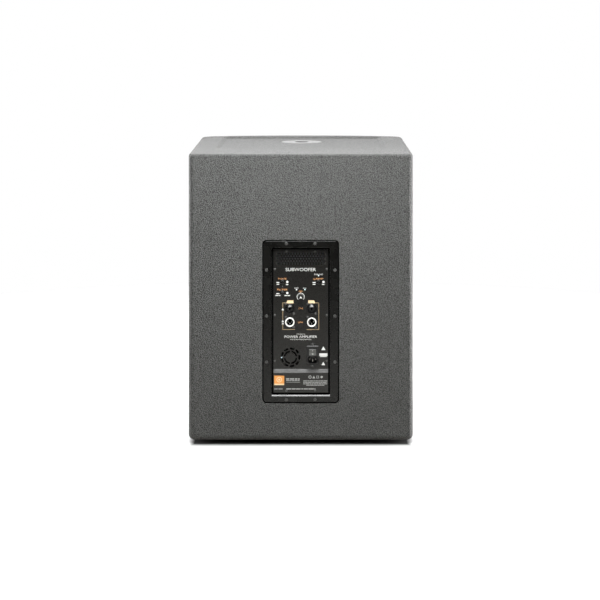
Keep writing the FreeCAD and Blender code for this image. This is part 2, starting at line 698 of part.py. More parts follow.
def rubber_feet():
    bore = WOOD_SCREW[2] + SCREW_GAP
    foot = turned((7, 0), (16.5, 0), ((18, 0.6), (18.6, 2)), (20, FOOT_H), (bore, FOOT_H),
                  (bore, 4), (7, 4))  # fmt: skip
    write("rubber_feet", *[placed(foot, place) for place in FEET])


def cabinet_screws():
    """The wood screws of the handles, pole socket, feet and ports."""
    flat, pan = flat_screw(*WOOD_SCREW), pan_screw(*WOOD_SCREW)
    screws = []
    for side in (LEFT_HANDLE, RIGHT_HANDLE):
        screws += [placed(at(flat, x, y, -0.5), side) for x, y in HANDLE_SCREWS]
    screws += [placed(at(flat, x, y), POLE) for x, y in POLE_SCREWS]
    upward = pan.copy()
    upward.rotate(V(0, 0, 0), V(1, 0, 0), 180)
    upward = at(upward, 0, 0, 4)
    screws += [placed(upward, foot) for foot in FEET]
    for port in PORTS:
        screws += [placed(at(pan, x, y, 4), port) for x, y in port_screw_places()]
    write("cabinet_screws", *screws)


# ---------------------------------------------------------------- amplifier module
# Everything here is drawn in the module's frame: x is U, y is V, and z = 0 is the cabinet's back.

BEZEL_FACE = -0.3
BEZEL_T = 3.0
BEZEL_BEVEL = 2.7  # on the top and bottom edges of the bezel's opening
BEZEL_BACK = BEZEL_FACE - BEZEL_T
PANEL_FACE = -PANEL_RECESS
PANEL_BACK = PANEL_FACE - SHEET
LABEL_FACE = -LABEL_RECESS
BOARD_Z = -50.0  # back of the input board
BOARD_FACE = BOARD_Z + 1.6
POWER_BOARD_Z = -93.6
POWER_BOARD_FACE = POWER_BOARD_Z + 1.6


def bezel_screw_places():
    """Where the bezel's screws seat, as (u, v, depth)."""
    seat = BEZEL_FACE - BEZEL_DIMPLE
    ends = [(u, side * 185.0, seat) for u in END_SCREW_U for side in (-1, 1)]
    return ends + [(side * 81.0, v, seat) for side in (-1, 1) for v in SIDE_SCREW_V]


def panel_screw_places():
    """Where the control panel's own screws seat."""
    places = [(u, END_SCREW_V, PANEL_FACE) for u in END_SCREW_U]
    places += [(u, -END_SCREW_V, LABEL_FACE) for u in END_SCREW_U]
    return places + [(side * 61.8, v, PANEL_FACE) for side in (-1, 1) for v in SIDE_SCREW_V]


def connector_screw_places():
    """Two screws at opposite corners of each round connector."""
    places = []
    for u in (-JACK_U, JACK_U):
        for v in (JACK_V, OUTPUT_V):
            places += [(u - 9.5, v + 12, PANEL_FACE), (u + 9.5, v - 12, PANEL_FACE)]
    return places


def amp_bezel():
    """Moulded frame that covers the edge of the cut-out and shades the recessed panel."""
    frame_plate = rounded(BEZEL_W, BEZEL_H, 8.0, BEZEL_BACK, BEZEL_FACE)
    rim = [e for e in frame_plate.Edges
           if e.BoundBox.ZMin > BEZEL_FACE - 0.01 and e.BoundBox.ZLength < 0.01]  # fmt: skip
    frame_plate = frame_plate.makeFillet(1.0, rim)
    skirt = rounded(OPENING_W + 5, OPENING_H + 5, 5.0, PANEL_BACK, BEZEL_BACK + 0.5)
    bezel = frame_plate.fuse(skirt).removeSplitter()
    bezel = bezel.cut(rounded(OPENING_W, OPENING_H, 3.0, PANEL_BACK - 1, 1))
    for side in (-1, 1):
        edge = side * OPENING_H / 2
        wedge = section((edge - side, BEZEL_FACE - BEZEL_BEVEL - 1), (edge - side, BEZEL_FACE + 1),
                        (edge + side * (BEZEL_BEVEL + 1), BEZEL_FACE + 1))  # fmt: skip
        bezel = bezel.cut(across(wedge, OPENING_W))
    dimples = [disc(4.7, z, z + 3, x, y) for x, y, z in bezel_screw_places()]
    return bezel.cut(dimples + clearance(bezel_screw_places(), BEZEL_SCREW))


def amp_gasket():
    ring = rounded(BEZEL_W + 5, BEZEL_H + 5, 10.5, -4.5, BEZEL_BACK)
    ring = ring.cut(rounded(OPENING_W + 9, OPENING_H + 9, 6.0, -6, 0))
    return ring.cut(clearance(bezel_screw_places(), BEZEL_SCREW))


def vent_holes():
    """Close-packed round holes in staggered rows."""
    row_step = VENT_PITCH * math.sqrt(3) / 2
    middle = (len(VENT_ROWS) - 1) / 2
    holes = []
    for row, count in enumerate(VENT_ROWS):
        v = VENT_V + (row - middle) * row_step
        holes += [disc(VENT_HOLE_R, PANEL_BACK - 1, PANEL_FACE + 1, (i - (count - 1) / 2) * VENT_PITCH, v)
                  for i in range(count)]  # fmt: skip
    return holes


def fan_slots():
    """Two rings of curved slots in front of the fan."""
    slots = []
    for radius, width, count, bridge in ((14.2, 4.0, 4, 14.0), (20.9, 4.6, 9, 11.0)):
        sweep = 360.0 / count - bridge
        slot = arc_slot(radius, width, bridge / 2, sweep, PANEL_BACK - 1, PANEL_FACE + 1)
        slots += ring_copies(slot, count, 180.0)
    return [at(slot, *FAN_UV) for slot in slots]


def button_uvs():
    return (POLARITY_UV, CROSSOVER_UV, FRONT_LED_UV)


def amp_panel():
    """Stepped steel control panel. Its lower part stands forward and carries the labels."""
    half_h = PANEL_H / 2
    profile = section(
        (half_h, PANEL_FACE), (STEP_TOP_V, PANEL_FACE), (STEP_BOTTOM_V, LABEL_FACE),
        (-half_h, LABEL_FACE), (-half_h, PANEL_BACK), (half_h, PANEL_BACK),
    )  # fmt: skip
    inner = section(
        (STEP_TOP_V - SHEET * 0.41, PANEL_BACK - 1), (STEP_TOP_V - SHEET * 0.41, PANEL_BACK),
        (STEP_BOTTOM_V - SHEET * 0.41, LABEL_FACE - SHEET), (-half_h + SHEET, LABEL_FACE - SHEET),
        (-half_h + SHEET, PANEL_BACK - 1),
    )  # fmt: skip
    panel = across(profile, PANEL_W).cut(across(inner, PANEL_W - 2 * SHEET))

    collars = []
    for u, v in button_uvs():
        collars.append(turned((4.3, PANEL_FACE - 0.5), (6.6, PANEL_FACE - 0.5), (6.6, PANEL_FACE),
                              (5.6, PANEL_FACE + 1), (4.3, PANEL_FACE + 1)))  # fmt: skip
        collars[-1].translate(V(u, v, 0))
    panel = panel.fuse(collars).removeSplitter()

    through = (PANEL_BACK - 1, PANEL_FACE + 2)
    holes = [disc(4.3, *through, u, v) for u, v in button_uvs()]
    holes += [disc(LAMP_R, *through, *uv) for uv in (*STATUS_LED_UV, FAN_LAMP_UV)]
    holes += [disc(3.7, *through, *KNOB_UV)]
    holes += [disc(12.0, *through, u, JACK_V) for u in (-JACK_U, JACK_U)]
    holes += [disc(11.4, *through, u, OUTPUT_V) for u in (-JACK_U, JACK_U)]
    holes.append(rounded(27.6, 44.1, 1.5, *through, *INLET_UV))
    holes += clearance(panel_screw_places(), M3_SCREW)
    holes += clearance(connector_screw_places() + inlet_screw_places(), M3_SCREW)
    return panel.cut(holes + vent_holes() + fan_slots())


POWER_BOARD_CORNERS = [(u, v) for u in (-58, 58) for v in (-163, -25)]
CABLE_UV = (-50.0, -10.0)  # where the woofer's lead leaves the tray


def amp_tray():
    """Folded steel box behind the panel, which also seals the cabinet."""
    width, height = OPENING_W + 5, OPENING_H + 5
    tray = rounded(width, height, 4.0, -TRAY_DEPTH, PANEL_BACK)
    inside = rounded(width - 2 * SHEET, height - 2 * SHEET, 2.5, SHEET - TRAY_DEPTH, PANEL_BACK - SHEET)
    mouth = rounded(118, 322, 2.0, PANEL_BACK - SHEET - 1, PANEL_BACK + 1)
    tray = tray.cut([inside, mouth])
    posts = [tube(2.8, M3_SCREW[2] + SCREW_GAP, PANEL_BACK, LABEL_FACE - SHEET, u, -END_SCREW_V)
             for u in END_SCREW_U]  # fmt: skip
    stands = [disc(3.0, SHEET - TRAY_DEPTH, POWER_BOARD_Z, u, v) for u, v in POWER_BOARD_CORNERS]
    flange_screws = [p for p in panel_screw_places() if p[2] == PANEL_FACE]
    outlet = disc(4.0, -TRAY_DEPTH - 1, -TRAY_DEPTH + 2, *CABLE_UV)
    return joined([tray.cut(clearance(flange_screws, M3_SCREW) + [outlet])] + posts + stands)


def heat_sink():
    """Finned aluminium extrusion on the back of the tray."""
    back = -TRAY_DEPTH + SHEET
    parts = [block(-60, 60, 0, 160, back, back + 6)]
    count, fin, depth = 13, 2.4, 34.0
    for i in range(count):
        u = -60 + i * (120 - fin) / (count - 1)
        parts.append(block(u, u + fin, 0, 160, back + 5, back + depth))
    return joined(parts)


def boards():
    power = rounded(126, 148, 2.0, POWER_BOARD_Z, POWER_BOARD_FACE, 0, -94)
    write("power_board", placed(power, MODULE))
    board = rounded(112, 128, 2.0, BOARD_Z, BOARD_FACE, 0, 46)
    write("input_board", placed(board, MODULE))


def power_parts():
    """Toroidal transformer and reservoir capacitors on the power board."""
    low = POWER_BOARD_FACE
    core = turned((13, low), (34, low), (34, -56), (13, -56))
    core = at(core.makeFillet(7.0, [e for e in core.Edges if e.BoundBox.XLength > 20]), 24, -125)
    write("transformer", placed(core, MODULE))
    can = turned((0, low), (10.5, low), (10.5, low + 3), ((9.9, low + 4), (10.5, low + 5)), (10.5, -56),
                 (9.6, -55), (8.2, -55), (8.2, -55.5), (0, -55.5))  # fmt: skip
    cans = [at(can, u, v) for u in (-48, -22) for v in (-152, -128, -52)]
    write("capacitors", *[placed(c, MODULE) for c in cans])


FAN_R = 23.8
FAN_FRONT = PANEL_BACK
FAN_BACK = FAN_FRONT - 15.0
SPINDLE_R = 1.5


def fan_frame():
    body = rounded(50, 50, 3.0, FAN_BACK, FAN_FRONT).cut(disc(FAN_R, FAN_BACK - 1, FAN_FRONT + 1))
    hub = disc(11.0, FAN_BACK, FAN_BACK + 2)
    arms = ring_copies(block(10, FAN_R + 0.6, -1.2, 1.2, FAN_BACK, FAN_BACK + 2), 3, 30)
    holes = [disc(2.1, FAN_BACK - 1, FAN_FRONT + 1, x, y) for x in (-20, 20) for y in (-20, 20)]
    spindle = disc(SPINDLE_R, FAN_BACK, FAN_BACK + 9)
    return at(joined([body, hub, spindle] + arms).cut(holes), *FAN_UV)


def fan_rotor():
    """Hub and seven pitched blades."""
    low, high = FAN_BACK + 2.6, FAN_FRONT - 1.0
    hub = disc(11.0, low, high)
    hub = hub.makeFillet(1.0, [e for e in hub.Edges if e.BoundBox.ZMin > high - 0.1])
    blade = block(9.5, 24.0, -8.0, 8.0, -0.6, 0.6)
    blade.rotate(V(0, 0, 0), V(1, 0, 0), 38)
    blade = at(blade, 0, 0, (low + high) / 2).common(disc(22.8, low + 0.8, high - 0.8))
    bearing = disc(SPINDLE_R + 0.06, low - 1, FAN_BACK + 9.5)
    return at(joined([hub] + ring_copies(blade, 7)).cut(bearing), *FAN_UV)


SHAFT_R = 3.0


def level_knob():
    """Fluted knob and the shaft of the level control, which turn together."""
    low, high = PANEL_FACE + 0.5, -1.4
    knob = turned((0, low + 2.5), (SHAFT_R, low + 2.5), (SHAFT_R, low), (7.0, low), (7.2, low + 1),
                  (6.4, high - 0.8), (5.6, high), (0, high))  # fmt: skip
    bore = disc(SHAFT_R, low - 1, -4.9)
    flute = disc(0.8, low + 1.5, high + 1, 7.4)
    shaft = disc(SHAFT_R, PANEL_BACK - 8, -4.9)
    return [at(piece, *KNOB_UV) for piece in (knob.cut([bore] + ring_copies(flute, 20)), shaft)]


def level_pot():
    body = rounded(17, 17, 1.0, BOARD_FACE, PANEL_BACK)
    bush = disc(3.65, PANEL_BACK - 1, PANEL_FACE)
    shaft_bore = disc(SHAFT_R + 0.06, PANEL_BACK - 8.5, PANEL_FACE + 1)
    return at(joined([body, bush]).cut(shaft_bore), *KNOB_UV)


def push_button(uv):
    """Round cap with a stem into its switch."""
    radius = 3.5
    cap = turned((0, -26), (1.4, -26), (1.4, -20), (radius, -20), (radius, PANEL_FACE + 0.2),
                 (radius - 0.5, PANEL_FACE + 0.6), dome(radius - 0.5, PANEL_FACE + 0.6, PANEL_FACE + 0.9))
    return at(cap, *uv)


def button_switches():
    body = rounded(8.5, 8.5, 0.8, BOARD_FACE, -23.6).cut(disc(1.46, -32, -23))
    return [at(body, u, v) for u, v in button_uvs()]


def status_lamp(back):
    return turned((0, back), (LAMP_R, back), (LAMP_R, PANEL_FACE + 0.2),
                  dome(LAMP_R, PANEL_FACE + 0.2, PANEL_FACE + 1.2))  # fmt: skip


def status_leds():
    """Three lamps stand on the input board. The one beside the fan is a lens pressed into the panel."""
    return [at(status_lamp(BOARD_FACE), *uv) for uv in STATUS_LED_UV] + [
        at(status_lamp(PANEL_BACK), *FAN_LAMP_UV)
    ]


# The female connector takes both a round three-pin plug and a 6.35 mm jack plug.
JACK_FACE = PANEL_FACE + 0.8
JACK_BORE_R = 3.25
LATCH_U = (5.0, 1.7)  # half widths of the latch, at its low and high ends
LATCH_V = (3.8, 9.2)
LATCH_TRAVEL = 1.5


def latch_outline(grow, z0, z1):
    low, high = LATCH_V
    wide, narrow = LATCH_U
    corners = [(-wide - grow, low - grow), (wide + grow, low - grow),
               (narrow + grow, high + grow), (-narrow - grow, high + grow)]  # fmt: skip
    points = [V(u, v, z0) for u, v in corners + corners[:1]]
    return Part.Face(Part.makePolygon(points)).extrude(V(0, 0, z1 - z0))


def input_jack(u):
    body = disc(11.8, BOARD_FACE, JACK_FACE)
    body = body.makeChamfer(0.6, [e for e in body.Edges if e.BoundBox.ZMin > JACK_FACE - 0.1])
    flange = rounded(26, 31, 3.0, PANEL_BACK - 2.0, PANEL_BACK)
    body = body.fuse(flange).removeSplitter()
    groove = tube(9.9, 8.0, -28, 1)
    dish = turned((0, JACK_FACE - 1.6), (7.2, JACK_FACE - 1.6), (8.0, JACK_FACE + 1), (0, JACK_FACE + 1))
    contacts = ring_copies(disc(1.3, -28, 0, 5.4), 3, 270)
    bore = disc(JACK_BORE_R, BOARD_FACE + 1.5, 0)
    cuts = [groove, dish, bore, latch_outline(0.2, JACK_FACE - 8, 1)] + contacts
    holes = [disc(M3_SCREW[2] + SCREW_GAP, -20, 0, x, y) for x, y in ((-9.5, 12), (9.5, -12))]
    return at(body.cut(cuts + holes), u, JACK_V)


def jack_latch(u):
    """Push tab that lets go of a plug."""
    tab = latch_outline(0, JACK_FACE - 6, JACK_FACE + 0.9)
    crown = [e for e in tab.Edges if e.BoundBox.ZMin > JACK_FACE + 0.8]
    return at(tab.makeChamfer(0.5, crown), u, JACK_V)


OUTPUT_FLOOR = PANEL_FACE - 14.0
KEYWAY = block(-1.2, 1.2, 7.6, 9.3, PANEL_FACE - 9, 1)  # slot that keeps the plug the right way up


def output_shell(u):
    """Plated shell of the male connector, with its rim turned in over the lining."""
    low, lip = OUTPUT_FLOOR, PANEL_FACE + 1.4
    shell = turned((9.7, low), (11.2, low), (11.2, lip - 0.5), (10.7, lip), (8.6, lip), (8.1, lip - 0.5),
                   (8.1, PANEL_FACE), (9.7, PANEL_FACE))  # fmt: skip
    return at(shell.cut(KEYWAY), u, OUTPUT_V)


def output_housing(u):
    """Insulating body that holds and lines the shell, and holds its pins."""
    flange = rounded(26, 31, 3.0, PANEL_BACK - 2.2, PANEL_BACK).cut(disc(11.3, -30, 0))
    wall = tube(12.6, 11.3, OUTPUT_FLOOR, PANEL_BACK)
    floor = disc(12.6, BOARD_FACE, OUTPUT_FLOOR)
    lining = tube(9.6, 8.1, OUTPUT_FLOOR, PANEL_FACE - 0.1).cut(KEYWAY)
    body = joined([flange, wall, floor, lining])
    pins = ring_copies(disc(1.3, OUTPUT_FLOOR - 3, 0, 4.4), 4, 0)
    holes = [disc(M3_SCREW[2] + SCREW_GAP, -24, 0, x, y) for x, y in ((-9.5, 12), (9.5, -12))]
    return at(body.cut(pins[:1] + pins[2:] + holes), u, OUTPUT_V)


def contact_pins():
    """Pins of the output connectors and blades of the mains inlet."""
    pin = turned((0, OUTPUT_FLOOR - 3), (1.25, OUTPUT_FLOOR - 3), (1.25, PANEL_FACE - 2.2),
                 dome(1.25, PANEL_FACE - 2.2, PANEL_FACE - 1.2))  # fmt: skip
    copies = ring_copies(at(pin, 4.4, 0), 4, 0)
    pins = [at(p, u, OUTPUT_V) for u in (-JACK_U, JACK_U) for p in copies[:1] + copies[2:]]
    for du, dv in ((-7, 2), (7, 2), (0, -2)):
        blade = block(-1, 1, -2, 2, INLET_FLOOR - 3, INLET_FACE - 3.5)
        blade = blade.makeChamfer(0.5, [e for e in blade.Edges if e.BoundBox.ZMin > INLET_FACE - 4])
        pins.append(at(blade, INLET_UV[0] + du, SOCKET_V + dv))
    return pins


INLET_FACE = PANEL_FACE + 2.5
INLET_FLOOR = INLET_FACE - 17.0
INLET_SCREW_DV = 26.0
ROCKER_W, ROCKER_L = 16.2, 14.4
PIVOT_Z = INLET_FACE - 3.0
PIN_R = 1.5
ROCKER_PIN_REACH = 1.4


def inlet_screw_places():
    """The two screws of the mains inlet, seated in its ears."""
    u, v = INLET_UV
    return [(u, v + side * INLET_SCREW_DV, INLET_FACE - 1.0) for side in (-1, 1)]


def socket_cavity(z0, z1):
    """Mains plug outline, a rectangle with two cut lower corners."""
    half_w, half_h, cut = 12.1, 8.2, 4.6
    corners = [(-half_w, half_h), (half_w, half_h), (half_w, -half_h + cut), (half_w - cut, -half_h),
               (-half_w + cut, -half_h), (-half_w, -half_h + cut)]  # fmt: skip
    points = [V(INLET_UV[0] + u, SOCKET_V + v, z0) for u, v in corners + corners[:1]]
    return Part.Face(Part.makePolygon(points)).extrude(V(0, 0, z1 - z0))


def rocker_pin(radius, reach):
    """Cylinder along the rocker's pivot, reaching past both of its sides."""
    length = ROCKER_W + 2 * reach
    return Part.makeCylinder(radius, length, V(INLET_UV[0] - length / 2, ROCKER_V, PIVOT_Z), V(1, 0, 0))


def power_inlet():
    """Mains inlet with the power switch above it, in one moulding."""
    u, v = INLET_UV
    flange = rounded(29, 45, 1.5, PANEL_FACE, INLET_FACE, u, v)
    ears = rounded(13, 60, 6.0, PANEL_FACE, INLET_FACE - 1.0, u, v)
    edge = [e for e in flange.Edges if e.BoundBox.ZMin > INLET_FACE - 0.1]
    body = rounded(27, 43.5, 1.2, -44, PANEL_FACE + 0.5, u, v)
    moulding = joined([flange.makeChamfer(1.0, edge), ears, body])
    rocker_hole = rounded(ROCKER_W + 0.6, ROCKER_L + 1.4, 0.6, INLET_FACE - 14, 1, u, ROCKER_V)
    blades = [block(u + du - 1.05, u + du + 1.05, SOCKET_V + dv - 2.05, SOCKET_V + dv + 2.05,
                    INLET_FLOOR - 3.05, INLET_FLOOR + 1)
              for du, dv in ((-7, 2), (7, 2), (0, -2))]  # fmt: skip
    reach = ROCKER_PIN_REACH + 0.1
    bearing = rocker_pin(PIN_R + 0.06, reach)
    cuts = [socket_cavity(INLET_FLOOR, 1), rocker_hole, bearing] + blades
    return moulding.cut(cuts + clearance(inlet_screw_places(), M3_SCREW))


def power_rocker():
    """Two-position rocker, drawn tilted to its off position about its pivot."""
    half = ROCKER_L / 2
    outline = section((half - 0.5, 5.2), (0, 3.6), (-half + 0.5, 5.2), (-half, 1.5), (-half, 0), (-3, -6),
                      (3, -6), (half, 0), (half, 1.5))  # fmt: skip
    rocker = across(outline, ROCKER_W)
    rocker.rotate(V(0, 0, 0), V(1, 0, 0), ROCKER_TILT)
    return joined([at(rocker, INLET_UV[0], ROCKER_V, PIVOT_Z), rocker_pin(PIN_R, ROCKER_PIN_REACH)])


def amplifier():
    """Writes the pieces of the amplifier module."""
    single = {
        "amp_bezel": amp_bezel(),
        "amp_gasket": amp_gasket(),
        "amp_panel": amp_panel(),
        "amp_tray": amp_tray(),
        "heat_sink": heat_sink(),
        "fan_frame": fan_frame(),
        "fan_rotor": fan_rotor(),
        "level_pot": level_pot(),
        "polarity_button": push_button(POLARITY_UV),
        "crossover_button": push_button(CROSSOVER_UV),
        "front_led_button": push_button(FRONT_LED_UV),
        "left_jack_latch": jack_latch(-JACK_U),
        "right_jack_latch": jack_latch(JACK_U),
        "power_inlet": power_inlet(),
        "power_rocker": power_rocker(),
    }
    for name, shape in single.items():
        write(name, placed(shape, MODULE))
    groups = {
        "level_knob": level_knob(),
        "button_switches": button_switches(),
        "status_leds": status_leds(),
        "input_jacks": [input_jack(u) for u in (-JACK_U, JACK_U)],
        "output_shells": [output_shell(u) for u in (-JACK_U, JACK_U)],
        "output_housings": [output_housing(u) for u in (-JACK_U, JACK_U)],
        "contact_pins": contact_pins(),
        "bezel_screws": [at(pan_screw(*BEZEL_SCREW, hex_recess), *p) for p in bezel_screw_places()],
        "panel_screws": [at(pan_screw(*M3_SCREW), *p) for p in
                         panel_screw_places() + connector_screw_places() + inlet_screw_places()],
    }  # fmt: skip
    for name, shapes in groups.items():
        write(name, *[placed(s, MODULE) for s in shapes])
    boards()
    power_parts()


def speaker_cable():
    """Lead from the tray's back to the woofer."""
    start = MODULE.multVec(V(*CABLE_UV, 0.5 - TRAY_DEPTH))
    end = WOOFER.multVec(V(62, -105, -95))
    points = [start, start + V(0, -45, -4), V(66, 60, 262), V(80, -60, 270), end + V(6, 20, -16), end]
    path = Part.BSplineCurve()
    path.interpolate(points)
    spine = Part.Wire(path.toShape())
    outline = Part.Wire(Part.makeCircle(3.4, start, V(0, -1, 0)))
    write("speaker_cable", spine.makePipeShell([outline], True, False))


def main():
    os.makedirs("parts", exist_ok=True)
    cabinet_panels()
    front_baffle()
    window_brace()
    damping_wadding()
    front_grille()
    grille_cleats()
    front_led()
    woofer_basket()
    woofer_bolts()
    woofer_cone()
    surround()
    spider()
    woofer_motor()
    port_tubes()
    handles()
    pole_socket()
    rubber_feet()
    cabinet_screws()
    amplifier()
    speaker_cable()


main()
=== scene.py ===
"""Looks of a powered PA subwoofer: textured black cabinet, printed amplifier panel, perforated grille.

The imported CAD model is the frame. Everything is in metres, in its coordinates: +Z up, the grille
faces -Y, the amplifier panel faces +Y.
"""

import math

import bmesh
import bpy
import numpy as np
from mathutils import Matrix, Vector


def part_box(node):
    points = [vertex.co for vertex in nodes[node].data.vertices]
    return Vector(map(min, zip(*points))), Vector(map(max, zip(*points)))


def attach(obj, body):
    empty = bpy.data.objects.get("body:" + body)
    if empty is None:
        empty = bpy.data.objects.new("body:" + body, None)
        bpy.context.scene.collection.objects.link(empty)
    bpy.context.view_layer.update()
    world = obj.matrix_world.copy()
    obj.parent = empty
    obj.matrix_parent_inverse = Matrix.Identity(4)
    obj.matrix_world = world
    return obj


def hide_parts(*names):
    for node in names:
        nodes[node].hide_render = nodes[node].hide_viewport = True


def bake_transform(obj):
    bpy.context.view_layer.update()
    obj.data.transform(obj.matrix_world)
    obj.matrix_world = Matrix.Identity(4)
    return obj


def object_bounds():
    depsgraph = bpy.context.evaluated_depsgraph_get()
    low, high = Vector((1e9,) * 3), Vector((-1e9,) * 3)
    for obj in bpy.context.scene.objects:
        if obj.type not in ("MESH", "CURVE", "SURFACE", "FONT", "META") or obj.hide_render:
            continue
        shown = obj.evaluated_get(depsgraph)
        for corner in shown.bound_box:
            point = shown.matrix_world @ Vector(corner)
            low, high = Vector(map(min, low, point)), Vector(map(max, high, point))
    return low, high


MM = 0.001

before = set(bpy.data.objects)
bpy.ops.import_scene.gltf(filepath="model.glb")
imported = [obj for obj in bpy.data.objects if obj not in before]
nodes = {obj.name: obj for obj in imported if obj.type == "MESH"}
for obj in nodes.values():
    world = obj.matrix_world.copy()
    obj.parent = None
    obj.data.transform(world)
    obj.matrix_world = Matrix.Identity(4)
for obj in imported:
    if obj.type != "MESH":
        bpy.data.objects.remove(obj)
cad_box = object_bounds()

# ---------------------------------------------------------------- places read from the frame


def middle(node):
    low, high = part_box(node)
    return (low + high) / 2


PANEL_CENTRE = middle("amp_bezel")
PANEL_STEP = 10 * MM  # between the amplifier panel's two faces
LABEL_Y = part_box("amp_panel")[1].y  # its lower face, the one that stands forward
CONTROL_Y = LABEL_Y - PANEL_STEP  # its upper face
VENT_Z = PANEL_CENTRE.z + 147.3 * MM  # middle of the vent, in the upper face
VENT_REACH = (60 * MM, 14.5 * MM)  # how far the vent reaches from there, along X and Z
WOOFER = middle("woofer_basket")
BAFFLE_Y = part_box("front_baffle")[0].y

# ---------------------------------------------------------------- materials


class Shader:
    """A material under construction, with short calls for its nodes."""

    def __init__(self, name, colour, roughness=0.5, metallic=0.0, specular=0.5):
        self.material = bpy.data.materials.new(name)
        self.material.use_nodes = True
        self.material.diffuse_color = (*colour, 1)
        self.tree = self.material.node_tree
        self.surface = self.tree.nodes["Principled BSDF"]
        self.set(Base_Color=(*colour, 1), Roughness=roughness, Metallic=metallic)
        self.set(Specular_IOR_Level=specular)
        self.where = self.node("TexCoord").outputs["Object"]

    def node(self, kind, inputs=None, **settings):
        made = self.tree.nodes.new("ShaderNode" + kind)
        for name, value in settings.items():
            setattr(made, name, value)
        for name, value in (inputs or {}).items():
            self.feed(made.inputs[name], value)
        return made

    def feed(self, socket, value):
        if isinstance(value, bpy.types.NodeSocket):
            self.tree.links.new(value, socket)
        else:
            socket.default_value = value

    def set(self, **inputs):
        for name, value in inputs.items():
            self.feed(self.surface.inputs[name.replace("_", " ")], value)

    def noise(self, size, detail=2.0, roughness=0.5, stretch=(1, 1, 1)):
        """Value from 0 to 1 that varies over a size in metres, longer along stretched axes."""
        scale = tuple(1 / (size * s) for s in stretch)
        spot = self.node("Mapping", {"Vector": self.where, "Scale": scale})
        inputs = {"Vector": spot.outputs[0], "Scale": 1.0, "Detail": detail, "Roughness": roughness}
        return self.node("TexNoise", inputs).outputs["Fac"]

    def cells(self, size, feature="F1", smooth=0.0):
        """Distance from the nearest of scattered points, about a size apart."""
        inputs = {"Vector": self.where, "Scale": 1 / size}
        if feature == "SMOOTH_F1":
            inputs["Smoothness"] = smooth
        return self.node("TexVoronoi", inputs, feature=feature).outputs["Distance"]

    def blend(self, factor, low, high, from_min=0.0, from_max=1.0):
        """Number that runs from low to high as a factor crosses a range."""
        names = {"Value": factor, "From Min": from_min, "From Max": from_max}
        return self.node("MapRange", {**names, "To Min": low, "To Max": high}).outputs[0]

    def tint(self, factor, dark, light):
        """Colour between two colours."""
        mix = self.node("Mix", data_type="RGBA")
        for index, value in ((0, factor), (6, dark), (7, light)):
            self.feed(mix.inputs[index], (*value, 1) if isinstance(value, tuple) else value)
        return mix.outputs[2]

    def math(self, operation, *values):
        return self.node("Math", dict(enumerate(values)), operation=operation).outputs[0]

    def add(self, one, two, weight=1.0):
        """one + two * weight"""
        return self.math("MULTIPLY_ADD", two, weight, one)

    def bump(self, height, depth, strength=1.0):
        """Relief with a height from 0 to 1, over a depth in metres."""
        inputs = {"Height": height, "Distance": depth, "Strength": strength}
        self.feed(self.surface.inputs["Normal"], self.node("Bump", inputs).outputs[0])


def coating():
    """Sprayed polyurea: hard, closely set pebbles, with a painted highlight on their crowns and painted
    shade in the hollows between them.
    """
    m = Shader("textured_coating", (0.03, 0.03, 0.03), roughness=0.55)
    pebbles = m.blend(m.cells(1.95 * MM), 1.0, 0.0, 0.1, 0.75)
    grit = m.noise(1.2 * MM, detail=3, roughness=0.7)
    relief = m.add(pebbles, grit, 1.0)
    m.bump(relief, 1.0 * MM)
    relief_shade = m.blend(relief, 0.0, 1.0, 0.65, 1.35)
    # painted shade and highlight: the colour is dark in the hollows and light on the crowns, following the
    # relief
    m.set(Base_Color=m.tint(relief_shade, (0.008, 0.008, 0.0077), (0.079, 0.0788, 0.0765)))
    m.set(Roughness=m.blend(relief_shade, 0.62, 0.48))
    return m.material


def painted_wood():
    m = Shader("painted_wood", (0.018, 0.018, 0.018), roughness=0.8)
    grain = m.noise(4 * MM, detail=4, stretch=(1, 12, 1))
    m.set(Base_Color=m.tint(grain, (0.012, 0.012, 0.011), (0.03, 0.028, 0.026)))
    m.bump(grain, 0.15 * MM)
    return m.material


def powder_coat(name, colour, roughness, relief=0.05 * MM, size=0.9 * MM):
    """Baked powder coat: a fine orange peel."""
    m = Shader(name, colour, roughness=roughness)
    peel = m.noise(size, detail=2)
    m.bump(peel, relief)
    lighter = tuple(c * 1.25 for c in colour)
    m.set(Base_Color=m.tint(m.noise(40 * MM, detail=3), colour, lighter))
    m.set(Roughness=m.blend(peel, roughness - 0.04, roughness + 0.05, 0.3, 0.7))
    return m.material


def moulded_plastic(name, colour, roughness, relief=0.03 * MM, specular=0.5):
    """Plastic from a spark-eroded mould, lightly handled."""
    m = Shader(name, colour, roughness=roughness, specular=specular)
    grain = m.noise(0.6 * MM, detail=3)
    m.bump(grain, relief)
    handled = m.noise(25 * MM, detail=4)
    m.set(Roughness=m.blend(handled, roughness - 0.06, roughness + 0.06, 0.3, 0.7))
    m.set(Base_Color=m.tint(grain, colour, tuple(c * 1.3 for c in colour)))
    return m.material


def panel_paint():
    """Black powder coat, with a painted highlight on the steel between the holes of the vent, standing in
    for the lit edges of the holes.
    """
    black, web_highlight = (0.0038, 0.0035, 0.003), (0.016, 0.0155, 0.0145)
    m = Shader("panel_paint", (0.0035, 0.0032, 0.0028), roughness=0.3)
    peel = m.noise(0.9 * MM)
    m.bump(peel, 0.05 * MM)
    m.set(Roughness=m.blend(peel, 0.26, 0.35, 0.3, 0.7))
    split = m.node("SeparateXYZ", {0: m.where})
    across = m.math("ABSOLUTE", split.outputs["X"])
    above = m.math("ABSOLUTE", m.math("SUBTRACT", split.outputs["Z"], VENT_Z))
    inside = [m.blend(way, 1, 0, reach - 1 * MM, reach) for way, reach in zip((across, above), VENT_REACH)]
    # painted highlight: the steel between the vent holes is coloured paler, for the lit edges of the holes
    m.set(Base_Color=m.tint(m.math("MULTIPLY", *inside), black, web_highlight))
    return m.material


